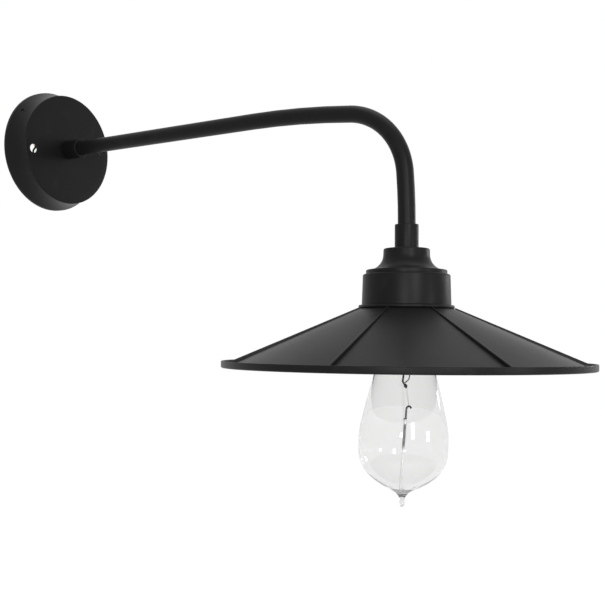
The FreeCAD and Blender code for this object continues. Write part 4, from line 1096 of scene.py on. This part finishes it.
    def bead(self, path):
        """Share of the full radius along a bead: a half ellipse over its length."""
        share = np.linspace(0.03, 0.97, len(path))
        return 2 * np.sqrt(share * (1 - share))

    def stem(self):
        """Stem: round tube with a trumpet-shaped top that goes over into a flat press.  At each
        height the section is (a cos t, b sin t), with half-widths a and b changing smoothly."""
        top, foot = self.STEM_TOP, self.STEM_FOOT
        level = np.concatenate([np.linspace(top, -163, 8), np.linspace(-163.5, -172, 12),
                                np.linspace(-173, -192.2, 30), [-192.7, foot]])
        trumpet = 6.8 * np.exp(-(top - level) / 1.9)
        pressed = rising(level, -183.0, -5.0)
        pressed = pressed * pressed * (3 - 2 * pressed)
        end = rising(level, foot, 0.9) ** 0.5
        wide = (self.STEM_R + trumpet + 0.25 * pressed) * (0.6 + 0.4 * end)
        deep = (self.STEM_R + trumpet - 2.75 * pressed) * (0.25 + 0.75 * end)
        ring = circle(1.0, 48)
        points = np.stack([wide[:, None] * ring[:, 0], deep[:, None] * ring[:, 1],
                           np.repeat(level[:, None], len(ring), 1)], -1)
        return capped(spun(points, self.lean_towards).reshape(-1, 3), len(ring))

    def execute(self, context):
        sizes = context.scene.sconce_sizes
        piece("threaded_cap", [self.cap(sizes)], "bulb", "bulb_cap")
        rod = self.wire(self.ROD, [20.0], self.rod_radius / MM, 20, self.swelling)
        leads = [self.wire(self.LEAD, [2.5, 1.4], 0.7), self.wire(self.THIN_LEAD, [2.5, 1.4], 0.4),
                 self.wire(self.WELD, [1.0], 1.45, 14, self.bead)]
        hook = self.wire(self.HOOK, [1.4, 1.3], 0.7)
        filament = self.wire(self.FILAMENT, [0.4, 0.4], 0.055, 8)
        for name, shells, node, sharp, finish in (
                ("blown_envelope", [self.envelope(sizes.glass_wall / MM)], "bulb_glass", 60, None),
                ("pressed_stem", [self.stem()], "bulb_stem", 70, None),
                ("support_rod", [rod], "bulb_rod", 80, "rod_painted_highlight"),
                ("lead_pair", leads, "bulb_leads", 60, None),
                ("rod_hook", [hook], "bulb_hook", 60, None),
                ("fine_thread", [filament], "bulb_filament", 60, None)):
            piece(name, shells, "bulb", node, sharp, self.leaning, finish)
        return {"FINISHED"}


class SetStage(bpy.types.Operator):
    """White paper floor, soft lights and the camera at the photograph's place"""
    bl_idname = "sconce.set_stage"
    bl_label = "Stage"

    focal_pixels: bpy.props.FloatProperty(name="Focal length", default=966.0, subtype="PIXEL",
                                          description="In pixels of a frame 605 pixels wide")
    camera_place: bpy.props.FloatVectorProperty(
        name="Camera", description="Where the camera stands", size=3, unit="LENGTH",
        default=(-0.60635, -0.70540, -0.17429))
    camera_turn: bpy.props.FloatVectorProperty(
        name="Camera turn", description="Yaw, pitch and roll", size=3, unit="ROTATION",
        default=(math.radians(-55.395), math.radians(-2.264), math.radians(0.485)))

    FRAME_PIXELS = 605.0
    FLOOR_REACH = 9.0       # metres from the middle of the floor to its edges
    AIM = (0.0, -0.33, -0.15)       # the place that the lights face

    def execute(self, context):
        scene, stage = context.scene, context.scene.sconce_stage
        self.camera(scene)
        self.floor(stage)
        self.room(scene, stage)
        self.lights(scene, stage)
        scene.view_settings.view_transform = "Standard"
        return {"FINISHED"}

    def stood(self, scene, name, data, axes, place):
        """An object at a place, with its own X, Y and Z along three axes."""
        made = bpy.data.objects.new(name, data)
        made.matrix_world = Matrix.Translation(place) @ Matrix(axes).transposed().to_4x4()
        scene.collection.objects.link(made)
        return made

    def camera(self, scene):
        yaw, pitch, roll = self.camera_turn
        back = np.array([math.sin(yaw) * math.cos(pitch), -math.cos(yaw) * math.cos(pitch),
                         math.sin(pitch)])
        right = np.array([math.cos(yaw), math.sin(yaw), 0.0])
        up = np.cross(back, right)
        axes = (math.cos(roll) * right + math.sin(roll) * up,
                -math.sin(roll) * right + math.cos(roll) * up, back)
        data = bpy.data.cameras.new("photo_camera")
        data.sensor_width = 36.0
        data.sensor_fit = "HORIZONTAL"
        data.lens = self.focal_pixels / self.FRAME_PIXELS * data.sensor_width
        data.clip_start = 0.01
        data.clip_end = 60.0
        scene.camera = self.stood(scene, "photo_camera", data, axes, self.camera_place)

    def floor(self, stage):
        """A white floor that stays white to the camera and keeps the lamp's shadow."""
        share = np.linspace(-self.FLOOR_REACH, self.FLOOR_REACH, 19)
        x, y = np.meshgrid(share, share, indexing="ij")
        points = np.stack([x, y, np.full_like(x, stage.floor_level)], -1).reshape(-1, 3)
        faces = grid_faces(len(share), len(share), False, False)[:, ::-1]
        mesh = bpy.data.meshes.new("paper_floor")
        mesh.from_pydata(points.tolist(), [], faces.tolist())
        made = bpy.data.objects.new("paper_floor", mesh)
        bpy.context.scene.collection.objects.link(made)
        mix = new_finish("white_paper")
        fibres = mix.cloud(90.0, 4.0, 0.6)
        sheet = mix.principled(Base_Color=solid(darker(stage.paper, 0.8)),
                               Roughness=0.85 + (fibres - 0.5) * 0.1,
                               Normal=mix.relief(fibres, 0.0002, 0.2))
        glow = mix.add("ShaderNodeEmission", {}, {"Color": solid(stage.paper),
                                                  "Strength": mix.seen() * stage.floor_glow})
        both = mix.add("ShaderNodeAddShader", {}, {0: sheet, 1: glow.outputs[0]})
        mesh.materials.append(mix.end(Surface=both.outputs[0]))

    def room(self, scene, stage):
        """White all round to the camera, and the room's plain light to everything else."""
        mix = Recipe(bpy.data.worlds.new("white_room"))
        strength = stage.room_light + mix.seen() * (1.0 - stage.room_light)
        shine = mix.add("ShaderNodeBackground", {}, {"Color": solid(stage.paper),
                                                     "Strength": strength})
        scene.world = mix.end("ShaderNodeOutputWorld", Surface=shine.outputs[0])

    def lights(self, scene, stage):
        """Soft boxes, each at its place in metres, facing the lamp and standing upright."""
        for name, place, size, power in (
                ("key_softbox", (-0.9, -1.55, 0.2), (0.22, 0.85), stage.key_watts),
                ("side_softbox", (0.1, -2.3, -0.15), (0.25, 0.4), stage.side_watts),
                ("right_softbox", (1.7, -1.0, 0.15), (0.2, 0.3), stage.right_watts),
                ("front_softbox", (-1.47, -1.0, -0.05), (0.16, 0.16), stage.front_watts),
                ("top_softbox", (0.1, -0.3, 1.5), (1.2, 1.2), stage.top_watts)):
            data = bpy.data.lights.new(name, "AREA")
            data.shape = "RECTANGLE"
            data.size, data.size_y = size
            data.energy = power
            away = np.array(place) - self.AIM
            away /= np.linalg.norm(away)
            right = np.cross((0.0, 0.0, 1.0), away)
            right /= np.linalg.norm(right)
            self.stood(scene, name, data, (right, np.cross(away, right), away), place)


class SconcePanel(bpy.types.Panel):
    """Buttons for every piece of the sconce and its stage"""
    bl_idname = "VIEW3D_PT_sconce"
    bl_label = "Sconce"
    bl_space_type = "VIEW_3D"
    bl_region_type = "UI"
    bl_category = "Sconce"

    def draw(self, context):
        for operator in OPERATORS:
            self.layout.operator(operator.bl_idname)
        for place, group in GROUPS.items():
            for name in group.__annotations__:
                self.layout.prop(getattr(context.scene, place), name)


OPERATORS = (DressFittings, DressCanopy, DressArm, DressHolderCover, DressShade, DressLampholder,
             DressBulb, SetStage)
GROUPS = {"sconce_sizes": SconceSizes, "sconce_finish": SconceFinish, "sconce_stage": SconceStage}
CLASSES = (*GROUPS.values(), *OPERATORS, SconcePanel)


def register():
    for entry in CLASSES:
        bpy.utils.register_class(entry)
    for place, group in GROUPS.items():
        setattr(bpy.types.Scene, place, bpy.props.PointerProperty(type=group))


def unregister():
    for place in GROUPS:
        delattr(bpy.types.Scene, place)
    for entry in reversed(CLASSES):
        bpy.utils.unregister_class(entry)


def main():
    register()
    for operator in OPERATORS:
        group, name = operator.bl_idname.split(".")
        if getattr(getattr(bpy.ops, group), name)() != {"FINISHED"}:
            raise RuntimeError(operator.bl_label + " didn't finish")


if __name__ == "__main__":
    main()
